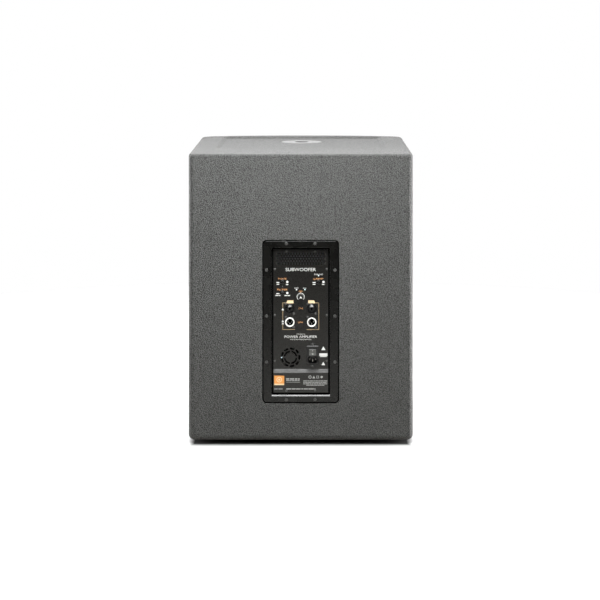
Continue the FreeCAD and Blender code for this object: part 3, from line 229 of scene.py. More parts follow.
def shadow_black():
    """Matt black seal and tray, near black as painted shade down in the gap round the panel."""
    # painted shade: near-black tray and seal for the shade down in the gap
    m = Shader("gap_shade_black", (0.002, 0.002, 0.002), roughness=0.95, specular=0.05)
    lint = m.noise(2 * MM, detail=4)
    m.set(Base_Color=m.tint(lint, (0.001, 0.001, 0.001), (0.004, 0.004, 0.004)))
    m.bump(lint, 0.05 * MM)
    return m.material


def soft_rubber():
    m = Shader("soft_rubber", (0.02, 0.02, 0.02), roughness=0.75)
    dust = m.noise(8 * MM, detail=5)
    m.set(Base_Color=m.tint(dust, (0.013, 0.013, 0.013), (0.035, 0.034, 0.032)))
    m.bump(m.noise(0.8 * MM, detail=2), 0.05 * MM)
    return m.material


def screw_steel():
    """Black phosphated steel, rubbed a little brighter in places."""
    m = Shader("black_steel", (0.1, 0.1, 0.1), roughness=0.42, metallic=0.6)
    rubbed = m.noise(1.5 * MM, detail=4)
    m.set(Base_Color=m.tint(m.blend(rubbed, 0, 1, 0.4, 0.65), (0.05, 0.05, 0.05), (0.13, 0.128, 0.125)))
    m.set(Roughness=m.blend(rubbed, 0.35, 0.55, 0.3, 0.7))
    return m.material


def metal(name, colour, roughness, brushed=(1, 1, 1), size=2 * MM, metallic=1.0):
    """Bare or plated metal with fine marks, drawn out along the brushed axis."""
    m = Shader(name, colour, roughness=roughness, metallic=metallic)
    marks = m.noise(size, detail=5, stretch=brushed)
    m.set(Roughness=m.blend(marks, roughness - 0.06, roughness + 0.1, 0.3, 0.7))
    m.bump(marks, 0.01 * MM)
    return m.material


def pulp_cone():
    """Pressed paper pulp with stray fibres, doped black."""
    m = Shader("paper_cone", (0.03, 0.029, 0.028), roughness=0.7)
    fibre = m.noise(2.2 * MM, detail=6, roughness=0.7)
    m.set(Base_Color=m.tint(fibre, (0.015, 0.015, 0.014), (0.06, 0.057, 0.052)))
    m.bump(fibre, 0.25 * MM)
    return m.material


def wound_wire():
    """Closely wound enamelled wire."""
    m = Shader("coil_wire", (0.5, 0.2, 0.07), roughness=0.3, metallic=0.8)
    turns = m.node("TexWave", {"Vector": m.where, "Scale": 800.0}, bands_direction="Y")
    m.bump(turns.outputs["Fac"], 0.15 * MM)
    m.set(Base_Color=m.tint(turns.outputs["Fac"], (0.2, 0.07, 0.02), (0.6, 0.27, 0.1)))
    return m.material


def woven_cloth(name, dark, light, thread=0.9 * MM):
    """Coarse woven cloth, stiffened with dope."""
    m = Shader(name, dark, roughness=0.8)
    directions = ("X", "Z")
    waves = [m.node("TexWave", {"Vector": m.where, "Scale": 0.3 / thread}, bands_direction=d)
             for d in directions]  # fmt: skip
    weave = m.add(waves[0].outputs["Fac"], waves[1].outputs["Fac"])
    m.bump(m.blend(weave, 0, 1, 0, 2), 0.2 * MM)
    m.set(Base_Color=m.tint(m.blend(weave, 0, 1, 0, 2), dark, light))
    return m.material


def open_foam(name, dark, light, cell):
    """Open-cell foam or felted wadding."""
    m = Shader(name, dark, roughness=0.95, specular=0.2)
    pores = m.cells(cell)
    m.set(Base_Color=m.tint(m.blend(pores, 1, 0, 0.1, 0.7), dark, light))
    m.bump(pores, 0.6 * MM)
    return m.material


def ferrite():
    m = Shader("ferrite", (0.05, 0.05, 0.055), roughness=0.55)
    m.set(Base_Color=m.tint(m.noise(6 * MM, detail=5), (0.03, 0.03, 0.033), (0.09, 0.09, 0.1)))
    m.bump(m.noise(0.8 * MM, detail=3), 0.05 * MM)
    return m.material


def circuit_board():
    """Dark green solder mask over a faint grid of tracks."""
    m = Shader("circuit_board", (0.004, 0.02, 0.01), roughness=0.45)
    spot = m.node("Mapping", {"Vector": m.where, "Scale": (250.0, 1.0, 250.0)})
    tracks = m.node("TexBrick", {"Vector": spot.outputs[0], "Scale": 1.0, "Mortar Size": 0.06})
    m.set(Base_Color=m.tint(tracks.outputs["Fac"], (0.003, 0.012, 0.006), (0.006, 0.03, 0.014)))
    m.bump(tracks.outputs["Fac"], 0.03 * MM)
    return m.material


def lamp_lens():
    """Clear diffusing lens with faint moulding haze."""
    m = Shader("lamp_lens", (0.75, 0.76, 0.78), roughness=0.2)
    haze = m.noise(0.7 * MM, detail=2)
    m.set(Roughness=m.blend(haze, 0.12, 0.3, 0.3, 0.7), Subsurface_Weight=0.3)
    m.set(Base_Color=m.tint(haze, (0.6, 0.61, 0.63), (0.85, 0.86, 0.88)))
    return m.material


def ink(name, colour):
    """Screen-printed ink, a little uneven in cover."""
    m = Shader(name, colour, roughness=0.45)
    cover = m.noise(0.5 * MM, detail=3)
    thin = tuple(c * 0.82 for c in colour)
    m.set(Base_Color=m.tint(m.blend(cover, 0, 1, 0.35, 0.6), thin, colour))
    return m.material


BLACK_PLASTIC = (0.02, 0.02, 0.0205)

finishes = {
    coating: "top_panel bottom_panel left_side_panel right_side_panel rear_panel",
    painted_wood: "front_baffle window_brace grille_cleats",
    screw_steel: "grille_screws woofer_bolts cabinet_screws bezel_screws panel_screws",
    soft_rubber: "woofer_gasket rubber_feet speaker_cable",
    pulp_cone: "woofer_cone dust_cap",
    wound_wire: "voice_coil",
    ferrite: "woofer_magnet",
    circuit_board: "power_board input_board",
    lamp_lens: "front_led status_leds",
    lambda: powder_coat("cast_paint", (0.02, 0.02, 0.02), 0.4, 0.08 * MM): "woofer_basket",
    lambda: powder_coat("socket_paint", (0.022, 0.022, 0.022), 0.36, 0.5 * MM, 9 * MM): "pole_socket",
    panel_paint: "amp_panel",
    lambda: metal("extruded_aluminium", (0.62, 0.63, 0.65), 0.38, (1, 1, 20)): "heat_sink",
    lambda: metal("zinc_steel", (0.6, 0.6, 0.58), 0.35): "tee_nuts magnet_top_plate pole_yoke",
    shadow_black: "amp_tray amp_gasket",
    lambda: metal("nickel_plate", (0.86, 0.85, 0.83), 0.45, metallic=0.4): "output_shells",
    lambda: metal("contact_metal", (0.4, 0.39, 0.37), 0.5): "contact_pins",
    lambda: moulded_plastic("bezel_plastic", (0.0018, 0.0018, 0.0016), 0.27, 0.004 * MM, 0.32): "amp_bezel",
    lambda: moulded_plastic("handle_plastic", BLACK_PLASTIC, 0.5): "handle_cups handle_bars port_tubes",
    lambda: moulded_plastic("control_plastic", (0.003, 0.003, 0.003), 0.35): (
        "level_knob polarity_button crossover_button front_led_button"
    ),
    lambda: moulded_plastic("connector_plastic", (0.001, 0.001, 0.001), 0.5, specular=0.1): (
        "output_housings level_pot button_switches fan_frame fan_rotor"
    ),
    lambda: moulded_plastic("jack_plastic", (0.0015, 0.0015, 0.0015), 0.35): "input_jacks",
    lambda: moulded_plastic("inlet_plastic", (0.005, 0.005, 0.005), 0.4): "power_inlet",
    lambda: moulded_plastic("latch_plastic", (0.22, 0.22, 0.22), 0.35): "left_jack_latch right_jack_latch",
    lambda: moulded_plastic("rocker_plastic", (0.075, 0.076, 0.073), 0.3): "power_rocker",
    lambda: moulded_plastic("wound_tape", (0.12, 0.09, 0.02), 0.4): "transformer",
    lambda: moulded_plastic("can_sleeve", (0.015, 0.02, 0.05), 0.35): "capacitors",
}


def finish_cad_nodes():
    for make, names in finishes.items():
        material = make()
        for name in names.split():
            nodes[name].data.materials.clear()
            nodes[name].data.materials.append(material)


# ---------------------------------------------------------------- mesh helpers


def new_piece(name, mesh, material, body, smooth=False):
    """Object from a mesh that rides on a CAD body."""
    piece = bpy.data.objects.new(name, mesh)
    bpy.context.scene.collection.objects.link(piece)
    mesh.materials.clear()
    mesh.materials.append(material)
    if smooth:
        mesh.shade_smooth()
    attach(piece, body)
    return piece


def to_mesh(name, shape):
    """Mesh from a bmesh, with its normals facing out."""
    bmesh.ops.recalc_face_normals(shape, faces=shape.faces[:])
    mesh = bpy.data.meshes.new(name)
    shape.to_mesh(mesh)
    shape.free()
    return mesh


def lathe(name, profile, centre, steps=160):
    """Closed ring turned round the Y axis from an outline of (radius, depth towards the front)."""
    shape = bmesh.new()
    rings = []
    for step in range(steps):
        a = 2 * math.pi * step / steps
        ring = [shape.verts.new(centre + Vector((r * math.cos(a), -depth, r * math.sin(a))))
                for r, depth in profile]  # fmt: skip
        rings.append(ring)
    for here, there in zip(rings, rings[1:] + rings[:1]):
        for i in range(len(profile)):
            j = (i + 1) % len(profile)
            shape.faces.new((here[i], here[j], there[j], there[i]))
    return to_mesh(name, shape)


# ---------------------------------------------------------------- front: bowed grille and foam


def bow_of(node):
    """(y of the crown, radius) of a bowed sheet, from its front surface."""
    points = np.array([v.co for v in nodes[node].data.vertices])
    half = points[:, 0].max()
    crown = points[:, 1].min()
    edge = points[points[:, 0] > half - 0.2 * MM][:, 1].min()
    sagitta = edge - crown
    return crown, (half**2 + sagitta**2) / (2 * sagitta)


class Bow:
    """Maps a distance along the bowed front, a height and a depth behind it into the frame."""

    def __init__(self, node):
        self.crown, self.radius = bow_of(node)
        low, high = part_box(node)
        self.half = self.radius * math.asin(high.x / self.radius)
        self.low, self.high = low.z, high.z

    def place(self, along, height, depth=0.0):
        turn = along / self.radius
        reach = self.radius - depth
        return Vector((reach * math.sin(turn), self.crown + self.radius - reach * math.cos(turn), height))


def bowed_slab(shape, bow, along, height, depth, steps=(60, 1)):
    """Closed slab that follows the bow, between limits along it, in height and in depth."""
    columns, rows = steps
    grids = []
    for layer in depth:
        grid = []
        for i in range(columns + 1):
            x = along[0] + (along[1] - along[0]) * i / columns
            heights = [height[0] + (height[1] - height[0]) * k / rows for k in range(rows + 1)]
            grid.append([shape.verts.new(bow.place(x, z, layer)) for z in heights])
        grids.append(grid)
    for grid in grids:
        for i in range(columns):
            for k in range(rows):
                shape.faces.new((grid[i][k], grid[i + 1][k], grid[i + 1][k + 1], grid[i][k + 1]))
    front, back = grids
    for i in range(columns):
        for k in (0, rows):
            shape.faces.new((front[i][k], front[i + 1][k], back[i + 1][k], back[i][k]))
    for k in range(rows):
        for i in (0, columns):
            shape.faces.new((front[i][k], front[i][k + 1], back[i][k + 1], back[i][k]))


GRILLE_PITCH = 8.2 * MM  # between hole centres
GRILLE_WEB = 1.7 * MM  # steel between two holes
GRILLE_BORDER = 12 * MM  # plain edge
GRILLE_THICK = 1.5 * MM
GRILLE_RETURN = 12 * MM  # folded edges, top and bottom


def grille_net(shape, bow):
    """Thick hexagonal net. Neighbouring cells share their corners, which come in front and back pairs."""
    pitch, row_step = GRILLE_PITCH, GRILLE_PITCH * math.sqrt(3) / 2
    cell_r, hole_r = pitch / math.sqrt(3), (pitch - GRILLE_WEB) / math.sqrt(3)
    reach_x = bow.half - GRILLE_BORDER
    reach_z = (bow.high - bow.low) / 2 - GRILLE_BORDER
    middle_z = (bow.low + bow.high) / 2
    spokes = [(math.sin(math.radians(60 * i)), math.cos(math.radians(60 * i))) for i in range(6)]
    depths = (0.15 * MM, GRILLE_THICK - 0.15 * MM)
    shared = {}

    def corner(along, height):
        key = (round(along * 1e5), round(height * 1e5))
        if key not in shared:
            shared[key] = [shape.verts.new(bow.place(along, height, d)) for d in depths]
        return shared[key]

    rows, columns = int(reach_z / row_step), int(reach_x / pitch)
    for row in range(-rows, rows + 1):
        for column in range(-columns - 1, columns + 1):
            along, height = (column + 0.5 * (row % 2)) * pitch, middle_z + row * row_step
            if abs(along) > reach_x:
                continue
            rim = [corner(along + x * cell_r, height + z * cell_r) for x, z in spokes]
            hole = [corner(along + x * hole_r, height + z * hole_r) for x, z in spokes]
            for i in range(6):
                j = (i + 1) % 6
                for side in (0, 1):
                    shape.faces.new((rim[i][side], rim[j][side], hole[j][side], hole[i][side]))
                shape.faces.new((hole[i][0], hole[j][0], hole[j][1], hole[i][1]))
    fronts = {front: back for front, back in shared.values()}
    outline = [e for e in shape.edges if len(e.link_faces) == 1 and all(v in fronts for v in e.verts)]
    for a, b in [tuple(edge.verts) for edge in outline]:
        shape.faces.new((a, b, fronts[b], fronts[a]))


def add_grille(material):
    """Perforated sheet in a plain border, folded back at the top and bottom."""
    bow = Bow("front_grille")
    shape = bmesh.new()
    grille_net(shape, bow)
    inner = bow.half - GRILLE_BORDER - GRILLE_WEB
    edge = GRILLE_BORDER + GRILLE_PITCH / 2
    full, plain = (-bow.half, bow.half), (0, GRILLE_THICK)
    bowed_slab(shape, bow, full, (bow.low, bow.low + edge), plain)
    bowed_slab(shape, bow, full, (bow.high - edge, bow.high), plain)
    upright = (bow.low + edge, bow.high - edge)
    for along in ((-bow.half, -inner), (inner, bow.half)):
        bowed_slab(shape, bow, along, upright, plain, (4, 1))
    folded = (GRILLE_THICK, GRILLE_RETURN)
    for height in ((bow.low, bow.low + GRILLE_THICK), (bow.high - GRILLE_THICK, bow.high)):
        bowed_slab(shape, bow, full, height, folded)
    mesh = to_mesh("perforated_grille", shape)
    piece = new_piece("perforated_grille", mesh, material, "cabinet")
    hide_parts("front_grille")


def soft_piece(name, node, material, voxel, sink, size):
    """Soft copy of a plain CAD solid, with its surface sunk unevenly by up to a depth."""
    piece = new_piece(name, nodes[node].data.copy(), material, "cabinet")
    remesh = piece.modifiers.new("even_mesh", "REMESH")
    remesh.mode = "VOXEL"
    remesh.voxel_size = voxel
    texture = bpy.data.textures.new(name, "CLOUDS")
    texture.noise_scale = size
    uneven = piece.modifiers.new("unevenness", "DISPLACE")
    uneven.texture = texture
    uneven.texture_coords = "LOCAL"
    uneven.strength = sink
    uneven.mid_level = 1.0
    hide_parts(node)


# ---------------------------------------------------------------- woofer: parts that flex

CONE_EDGE_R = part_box("woofer_cone")[1].x
ROLL = (CONE_EDGE_R + 0.5 * MM, 203.5 * MM)  # inner and outer radius of the surround's roll
SKIN = 1.2 * MM


def blend_by_radius(piece):
    """Bakes the piece's place into its mesh."""
    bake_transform(piece)


def flexing_ring(name, path, thickness, material, replaced):
    """Ring turned from an open path of (radius, depth towards the front), given a thickness."""
    back = [(r, d - thickness) for r, d in reversed(path)]
    centre = Vector((WOOFER.x, BAFFLE_Y, WOOFER.z))
    mesh = lathe(name, path + back, centre)
    piece = bpy.data.objects.new(name, mesh)
    bpy.context.scene.collection.objects.link(piece)
    mesh.materials.append(material)
    mesh.shade_smooth()
    blend_by_radius(piece)
    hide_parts(replaced)


def add_surround(material):
    low = BAFFLE_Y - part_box("surround")[1].y  # depth of its flat edges, in front of the baffle
    inner, outer = ROLL
    centre, radius = (inner + outer) / 2, (outer - inner) / 2
    roll = [(centre - radius * math.cos(math.radians(a)), low + SKIN + radius * math.sin(math.radians(a)))
            for a in range(0, 181, 12)]  # fmt: skip
    path = [(176 * MM, low + SKIN), *roll, (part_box("surround")[1].x, low + SKIN)]
    flexing_ring("foam_surround", path, SKIN, material, "surround")


def add_spider(material):
    low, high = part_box("spider")
    rest = BAFFLE_Y - (low.y + high.y) / 2
    inner, outer = 52.5 * MM, high.x
    ripple = [(inner + (outer - inner) * i / 64, i / 64) for i in range(65)]
    path = [(r, rest + 1.8 * MM * math.sin(8 * math.pi * t) * math.sqrt(math.sin(math.pi * t)))
            for r, t in ripple]  # fmt: skip
    flexing_ring("cloth_spider", path, 0.8 * MM, material, "spider")


# ---------------------------------------------------------------- print on the amplifier panel
# U and V are millimetres right of and above the bezel's centre, seen from behind.

INK_DEPTH = 0.05 * MM
LINE = 1.15  # width of the lines round the connectors


class Print:
    """Flat print of one ink, gathered into one mesh."""

    def __init__(self, face_y):
        self.shape = bmesh.new()
        self.face_y = face_y

    def spot(self, u, v, lift=0.0):
        return Vector((PANEL_CENTRE.x - u * MM, self.face_y + lift, PANEL_CENTRE.z + v * MM))

    def area(self, outline):
        """Filled outline of (u, v) corners."""
        front = [self.shape.verts.new(self.spot(u, v, INK_DEPTH)) for u, v in outline]
        back = [self.shape.verts.new(self.spot(u, v)) for u, v in outline]
        self.shape.faces.new(front)
        self.shape.faces.new(back[::-1])
        for i in range(len(outline)):
            j = (i + 1) % len(outline)
            self.shape.faces.new((front[i], front[j], back[j], back[i]))

    def bar(self, u, v, width, height):
        w, h = width / 2, height / 2
        self.area([(u - w, v - h), (u + w, v - h), (u + w, v + h), (u - w, v + h)])

    def dot(self, u, v, radius):
        self.area([(u + radius * math.cos(a), v + radius * math.sin(a))
                   for a in np.linspace(0, 2 * math.pi, 24, endpoint=False)])  # fmt: skip

    def triangle(self, u, v, width, height):
        self.area([(u - width / 2, v - height / 2), (u + width / 2, v - height / 2), (u, v + height / 2)])

    def arc(self, u, v, radius, line, start, end, steps=32):
        """Curved line between two angles in degrees, counted anticlockwise from the right."""
        angles = [math.radians(start + (end - start) * i / steps) for i in range(steps + 1)]
        for a, b in zip(angles, angles[1:]):
            near, far = radius - line / 2, radius + line / 2
            self.area([(u + r * math.cos(t), v + r * math.sin(t))
                       for r, t in ((near, a), (far, a), (far, b), (near, b))])  # fmt: skip

    def words(self, text, u, v, width, height):
        """Capital letters stretched to a width and height, centred on u, v."""
        curve = bpy.data.curves.new("words", "FONT")
        curve.body = text
        curve.extrude = 0.5
        curve.resolution_u = 3
        maker = bpy.data.objects.new("words", curve)
        mesh = bpy.data.meshes.new_from_object(maker)
        points = np.array([p.co for p in mesh.vertices])
        low, high = points.min(0), points.max(0)
        size = high - low
        scale = (width / size[0], height / size[1], INK_DEPTH / size[2])
        for vertex in mesh.vertices:
            x, y, z = (vertex.co[i] - (low[i] + high[i]) / 2 for i in range(3))
            vertex.co = self.spot(u + x * scale[0], v + y * scale[1], z * scale[2] + INK_DEPTH / 2)
        self.shape.from_mesh(mesh)
        bpy.data.objects.remove(maker)
        bpy.data.meshes.remove(mesh)
        bpy.data.curves.remove(curve)

    def small_print(self, u, v, width, height, seed):
        """A line of print too small to read: short dashes of uneven length."""
        chance = np.random.default_rng(seed)
        left, end = u - width / 2, u + width / 2
        while left < end:
            dash = min(chance.uniform(1.6, 5.5) * height, end - left)
            self.bar(left + dash / 2, v, dash, height)
            left += dash + 0.55 * height

    def finish(self, name, material, body="cabinet"):
        mesh = to_mesh(name, self.shape)
        return new_piece(name, mesh, material, body)


def control_print(white, orange, cream, pale, grey):
    """Print on the recessed upper face."""
    ink_white, ink_orange, ink_cream, ink_tab, ink_grey = (Print(CONTROL_Y) for _ in range(5))
    ink_white.words("SUBWOOFER", 0, 121.5, 72, 7.6)
    for text, u, v, width in (("PHASE", -43.6, 99.7, 19.6), ("FILTER", -43.6, 73.7, 24.7),
                              ("LAMP", 42.3, 99.4, 22.7), ("GAIN", 0, 69.7, 9.8),
                              ("LINE", 0, 29.1, 11.3), ("LINK", 0, -3.9, 12)):  # fmt: skip
        ink_orange.words(text, u, v, width, 3.6)
    for text, u, v, width in (("STATUS", 42.3, 110.1, 21), ("READY", -10, 77.1, 10.6),
                              ("PEAK", 9.6, 77.1, 8.3)):  # fmt: skip
        ink_white.words(text, u, v, width, 3.2)
    for u, v, low_width in ((-43.6, 89.1, 6.6), (-43.6, 62.6, 13), (42.3, 89.1, 7)):
        ink_white.bar(u - 10.6, v + 1.6, 7.2, 2.0)
        ink_white.small_print(u - 10.6, v - 2.7, low_width, 1.9, 1)
        ink_white.dot(u + 11.6, v + 3.0, 2.7)
        ink_white.small_print(u + 11.6, v - 3.0, low_width, 2.2, 2)
        ink_grey.triangle(u, v + 7.4, 2.4, 1.8)
    ink_grey.bar(-43.6, 81.3, 0.9, 3.2)
    ink_white.arc(0, 56.6, 8.7, 1.2, -50, 230)
    ink_orange.dot(0, 66.6, 1.3)

    for side in (-1, 1):
        u, near, far = side * 42.8, side * 17.4, side * 34.4
        slanted = [(near, 41.2), (far, 41.2), (far - side * 2.6, 48.2), (near + side * 0.6, 48.2)]
        ink_tab.area(slanted)
        ink_cream.bar((u + far) / 2, 42.4, 8.4 + LINE, LINE)
        for low, high in ((-21.5, -9.4), (2.2, 24.4), (31.2, 42.9)) if side < 0 else ((-21.5, 42.9),):
            ink_cream.bar(u, (low + high) / 2, LINE, high - low)
        ink_cream.bar(side * 28.4, -21.0, 28.8, LINE)
    ink_white.triangle(-42.8, 27.4, 5.4, 5.4)
    for v in (-6.4, -1.0):
        ink_white.triangle(-42.8, v, 5.6, 4.6)

    ink_white.words("WITH BUILT-IN", 0, -32.2, 20, 3.0)
    ink_white.words("POWER AMPLIFIER", 0, -38.2, 77, 5.4)
    ink_white.words("FOR LOW FREQUENCIES", 0, -44.9, 50, 3.0)

    ink_white.triangle(53.8, -65.6, 9.6, 8.8)
    ink_white.bar(53.8, -80.8, 19.4, 6.2)
    ink_white.bar(53.8, -85.3, 16.0, 1.8)
    ink_white.triangle(53.6, -101.8, 9.0, 7.8)

    ink_white.finish("control_print_white", white)
    ink_orange.finish("control_print_orange", orange)
    ink_cream.finish("control_print_cream", cream)
    ink_tab.finish("control_print_tabs", pale)
    ink_grey.finish("control_print_grey", grey)


def label_print(faint, badge_orange, pale, grey):
    """Print on the forward lower face: a badge of plain rings, lines of small print and simple signs."""
    ink_white, ink_badge, ink_pale, ink_grey = (Print(LABEL_Y) for _ in range(4))
    ink_badge.bar(-51.1, -138.2, 23.6, 18.9)
    ink_pale.bar(-51.1, -149.4, 23.6, 3.5)
    rings = Print(LABEL_Y + INK_DEPTH)
    rings.dot(-51.1, -138.2, 2.4)
    rings.arc(-51.1, -138.2, 5.6, 1.8, 0, 360, 48)

    ink_white.small_print(-18.6, -136.6, 32, 3.0, 30)
    ink_white.small_print(-18.6, -140.6, 32, 1.6, 31)
    ink_white.bar(-18.2, -144.4, 33, 0.7)
    ink_white.arc(22.0, -132.0, 3.0, 1.3, 0, 360, 32)
    ink_white.triangle(31.0, -132.2, 7.0, 6.2)
    for side in (-1, 1):
        ink_white.bar(40.2 + side * 2.4, -132.0, 1.1, 5.9)
        ink_white.bar(40.2, -132.0 + side * 2.4, 3.7, 1.1)
    ink_white.dot(49.6, -132.0, 2.7)
    for row, v in enumerate((-141.2, -144.6, -148.2, -151.4)):
        ink_white.small_print(34.5, v, 57 - 14 * (row == 3), 1.7, 10 + row)
    ink_grey.small_print(-52.4, -160.2, 21, 3.0, 20)
    ink_white.small_print(0.4, -160.2, 69, 2.4, 21)
    ink_white.finish("label_print_white", faint)
    ink_badge.finish("label_badge", badge_orange)
    ink_pale.finish("label_print_pale", pale)
    ink_grey.finish("label_print_grey", grey)
    rings.finish("label_badge_rings", pale)


def uv_of(node):
    """U and V of a node's middle."""
    spot = middle(node) - PANEL_CENTRE
    return -spot.x / MM, spot.z / MM


def knob_pointer(white):
    pointer = Print(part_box("level_knob")[1].y)
    u, v = uv_of("level_knob")
    pointer.area([(u - 3.4, v - 3.4), (u, v - 2.0), (u + 3.4, v - 3.4), (u, v + 2.4)])
    pointer.finish("knob_pointer", white, "level_knob")


def rocker_marks(white):
    """A bar and a ring on the two sloping halves of the mains rocker, following the slopes."""
    u, v = uv_of("power_rocker")
    faces = [p for p in nodes["power_rocker"].data.polygons if p.normal.y > 0.9 and p.area > 20 * MM**2]
    for name, side in (("rocker_bar", 1), ("rocker_ring", -1)):
        slopes = [p for p in faces if (p.center.z - PANEL_CENTRE.z) / MM * side > v * side]
        face = max(slopes, key=lambda p: p.area)
        mark = Print(face.center.y)
        if side > 0:
            mark.bar(u, v + 4, 1.1, 3.4)
        else:
            mark.arc(u, v - 4, 1.5, 0.7, 0, 360, 24)
        for vertex in mark.shape.verts:
            vertex.co.y -= face.normal.z / face.normal.y * (vertex.co.z - face.center.z)
        mark.finish(name, white, "power_rocker")


def add_print():
    white = ink("white_ink", (0.60, 0.60, 0.59))
    faint = ink("faint_white_ink", (0.30, 0.30, 0.295))
    pale = ink("pale_ink", (0.66, 0.50, 0.31))
    grey = ink("grey_ink", (0.17, 0.172, 0.175))
    orange = ink("orange_ink", (0.60, 0.29, 0.12))
    control_print(white, orange, ink("cream_ink", (0.30, 0.22, 0.13)), pale, grey)
    label_print(faint, ink("badge_ink", (0.62, 0.25, 0.06)), pale, grey)
    knob_pointer(white)
    rocker_marks(white)


add_grille(powder_coat("grille_paint", (0.02, 0.02, 0.02), 0.42, 0.04 * MM))
foam = open_foam("acoustic_foam", (0.004, 0.004, 0.004), (0.02, 0.02, 0.02), 1.2 * MM)
wool = open_foam("polyester_wool", (0.2, 0.2, 0.19), (0.4, 0.39, 0.37), 3 * MM)
soft_piece("open_cell_foam", "grille_foam", foam, 2.9 * MM, 0.8 * MM, 12 * MM)
soft_piece("wadding_pads", "damping_wadding", wool, 8 * MM, 5 * MM, 40 * MM)
cloth = woven_cloth("treated_cloth", (0.012, 0.011, 0.01), (0.05, 0.045, 0.04))
add_surround(cloth)
add_spider(cloth)
add_print()
finish_cad_nodes()

# ---------------------------------------------------------------- stage, light and camera

CAMERA_AT = Vector((-0.022, 4.665, 1.048))
CAMERA_LENS = 110.4
CAMERA_SHIFT = (-0.0167, -0.4967)
FLOOR_RADIUS = 2.2
FLOOR_GAIN = (0.03, 0.5)  # share of its light the floor shows to the camera, under and beyond the cabinet; the low share under it is a painted contact shadow
FLOOR_GLOW = 0.5
CONTACT_SHADOW_FADE = ((-0.014, 0.004), (-0.004, 0.036), (-0.03, 0.0))  # where the painted contact shadow fades out: beside, behind and before it
FLOOR_BOW = 0.06  # the bowed front stands back this far at its corners
BACKDROP_Y = (-0.75, 0.1)  # directions between which the backdrop fades into the room
BACKDROP_LIGHT = (2.2, 0.02)
COOL = (0.965, 1.0, 0.985)


def shift_only_here(camera, axis, value, home_y):
    """Lens shift that holds at the camera's own place, and is nought wherever else it is taken."""
    driver = camera.data.driver_add(axis).driver
    driver.type = "SCRIPTED"
    place = driver.variables.new()
    place.name = "y"
    place.type = "TRANSFORMS"
    place.targets[0].id = camera
    place.targets[0].transform_type = "LOC_Y"
    place.targets[0].transform_space = "WORLD_SPACE"
    driver.expression = f"{value} if abs(y - {home_y}) < 0.001 else 0.0"


def add_camera():
    data = bpy.data.cameras.new("camera")
    camera = bpy.data.objects.new("camera", data)
    bpy.context.scene.collection.objects.link(camera)
    camera.location = CAMERA_AT
    camera.rotation_euler = (math.radians(90), 0, math.radians(180))
    data.lens = CAMERA_LENS
    data.sensor_width = 36
    data.clip_end = 60
    for axis, value in zip(("shift_x", "shift_y"), CAMERA_SHIFT):
        shift_only_here(camera, axis, value, CAMERA_AT.y)
    bpy.context.scene.camera = camera


def floor_paper():
    """Pale paper. The camera sees it a little overexposed, with a painted contact shadow: it shows the
    camera less light, and glows less, near and under the cabinet.
    """
    m = Shader("floor_paper", (0.88, 0.88, 0.88), roughness=0.9, specular=0.1)
    seen = m.node("LightPath").outputs["Is Camera Ray"]
    mirrored = m.node("LightPath").outputs["Is Glossy Ray"]
    split = m.node("SeparateXYZ", {0: m.where})
    beside = m.math("SUBTRACT", m.math("ABSOLUTE", split.outputs["X"]), cad_box[1].x)
    behind = m.math("SUBTRACT", split.outputs["Y"], cad_box[1].y)
    before = m.math("SUBTRACT", cad_box[0].y + FLOOR_BOW, split.outputs["Y"])
    # painted contact shadow: less light and less glow shown to the camera near and under the cabinet
    ways = [m.blend(way, 0, 1, *fade) for way, fade in zip((beside, behind, before), CONTACT_SHADOW_FADE)]
    gain = m.blend(m.math("MAXIMUM", m.math("MAXIMUM", *ways[:2]), ways[2]), *FLOOR_GAIN)
    shown = m.node("CombineColor", {0: gain, 1: gain, 2: gain}).outputs[0]
    unseen = m.tint(mirrored, (0.27, 0.245, 0.22), (0.45, 0.44, 0.42))
    m.set(Base_Color=m.tint(seen, unseen, shown), Emission_Color=(1, 1, 1, 1))
    m.set(Emission_Strength=m.math("MULTIPLY", seen, m.blend(gain, 0, FLOOR_GLOW, *FLOOR_GAIN)))
    from_below = m.node("NewGeometry").outputs["Backfacing"]
    m.set(Alpha=m.math("SUBTRACT", 1.0, from_below))
    return m.material


def add_floor():
    shape = bmesh.new()
    bmesh.ops.create_circle(shape, cap_ends=True, segments=96, radius=FLOOR_RADIUS)
    mesh = bpy.data.meshes.new("floor")
    shape.to_mesh(mesh)
    shape.free()
    mesh.materials.append(floor_paper())
    floor = bpy.data.objects.new("floor", mesh)
    bpy.context.scene.collection.objects.link(floor)


def add_softbox(name, place, aim, size, power, spread=180, colour=(1, 1, 1), mirrored=True):
    data = bpy.data.lights.new(name, "AREA")
    data.color = colour
    data.shape = "RECTANGLE"
    data.spread = math.radians(spread)
    data.size, data.size_y = size
    data.energy = power
    light = bpy.data.objects.new(name, data)
    bpy.context.scene.collection.objects.link(light)
    light.location = place
    light.rotation_euler = (Vector(aim) - Vector(place)).to_track_quat("-Z", "Y").to_euler()
    light.visible_glossy = mirrored


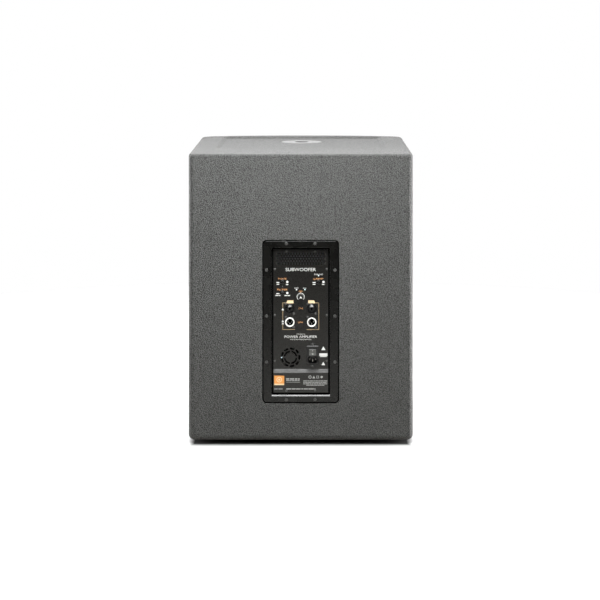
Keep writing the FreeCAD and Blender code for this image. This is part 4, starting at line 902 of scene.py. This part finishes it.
def add_lights():
    """Soft light from above and behind, with a strip at each side for the edges."""
    add_softbox("overhead", (0.35, -0.5, 2.3), (0, -0.3, 0.4), (1.6, 1.4), 44)
    add_softbox("crest", (0.05, 0.62, 1.75), (0, 0.34, 0.2), (0.8, 0.3), 26)
    add_softbox("key", (0.05, 1.75, 1.5), (0, 0.3, 0.8), (0.5, 0.45), 9.5, 85, COOL, mirrored=False)
    add_softbox("high_key", (0.05, 0.98, 1.48), (0, 0.3, 0.45), (0.6, 0.45), 26, colour=COOL)
    add_softbox("left_strip", (1.5, -0.85, 0.36), (0.27, 0.3, 0.36), (0.4, 0.7), 25)
    add_softbox("right_strip", (-1.6, -0.3, 0.36), (-0.27, 0.3, 0.36), (0.4, 0.7), 60)


def add_world():
    """White to the camera. To the object it is a pale backdrop in front and a dim room behind."""
    world = bpy.data.worlds.new("studio")
    bpy.context.scene.world = world
    world.use_nodes = True
    tree = world.node_tree
    tree.nodes.clear()

    def node(kind, *links, **values):
        """New node with some inputs set and others linked, as (input, output of another node)."""
        made = tree.nodes.new("ShaderNode" + kind)
        for name, value in values.items():
            made.inputs[name.replace("_", " ")].default_value = value
        for target, source in links:
            tree.links.new(source, made.inputs[target])
        return made

    split = node("SeparateXYZ", (0, node("TexCoord").outputs["Generated"]))
    ramp = node("MapRange", ("Value", split.outputs["Y"]), From_Min=BACKDROP_Y[0], From_Max=BACKDROP_Y[1],
                To_Min=BACKDROP_LIGHT[0], To_Max=BACKDROP_LIGHT[1])  # fmt: skip
    ramp.interpolation_type = "SMOOTHSTEP"
    room = node("Background", ("Strength", ramp.outputs[0]), Color=(1, 1, 1, 1))
    white = node("Background", Color=(1, 1, 1, 1), Strength=1.0)
    seen = node("LightPath").outputs["Is Camera Ray"]
    pick = node("MixShader", (0, seen), (1, room.outputs[0]), (2, white.outputs[0]))
    node("OutputWorld", ("Surface", pick.outputs[0]))


add_camera()
add_floor()
add_world()
add_lights()
bpy.context.scene.view_settings.view_transform = "Standard"
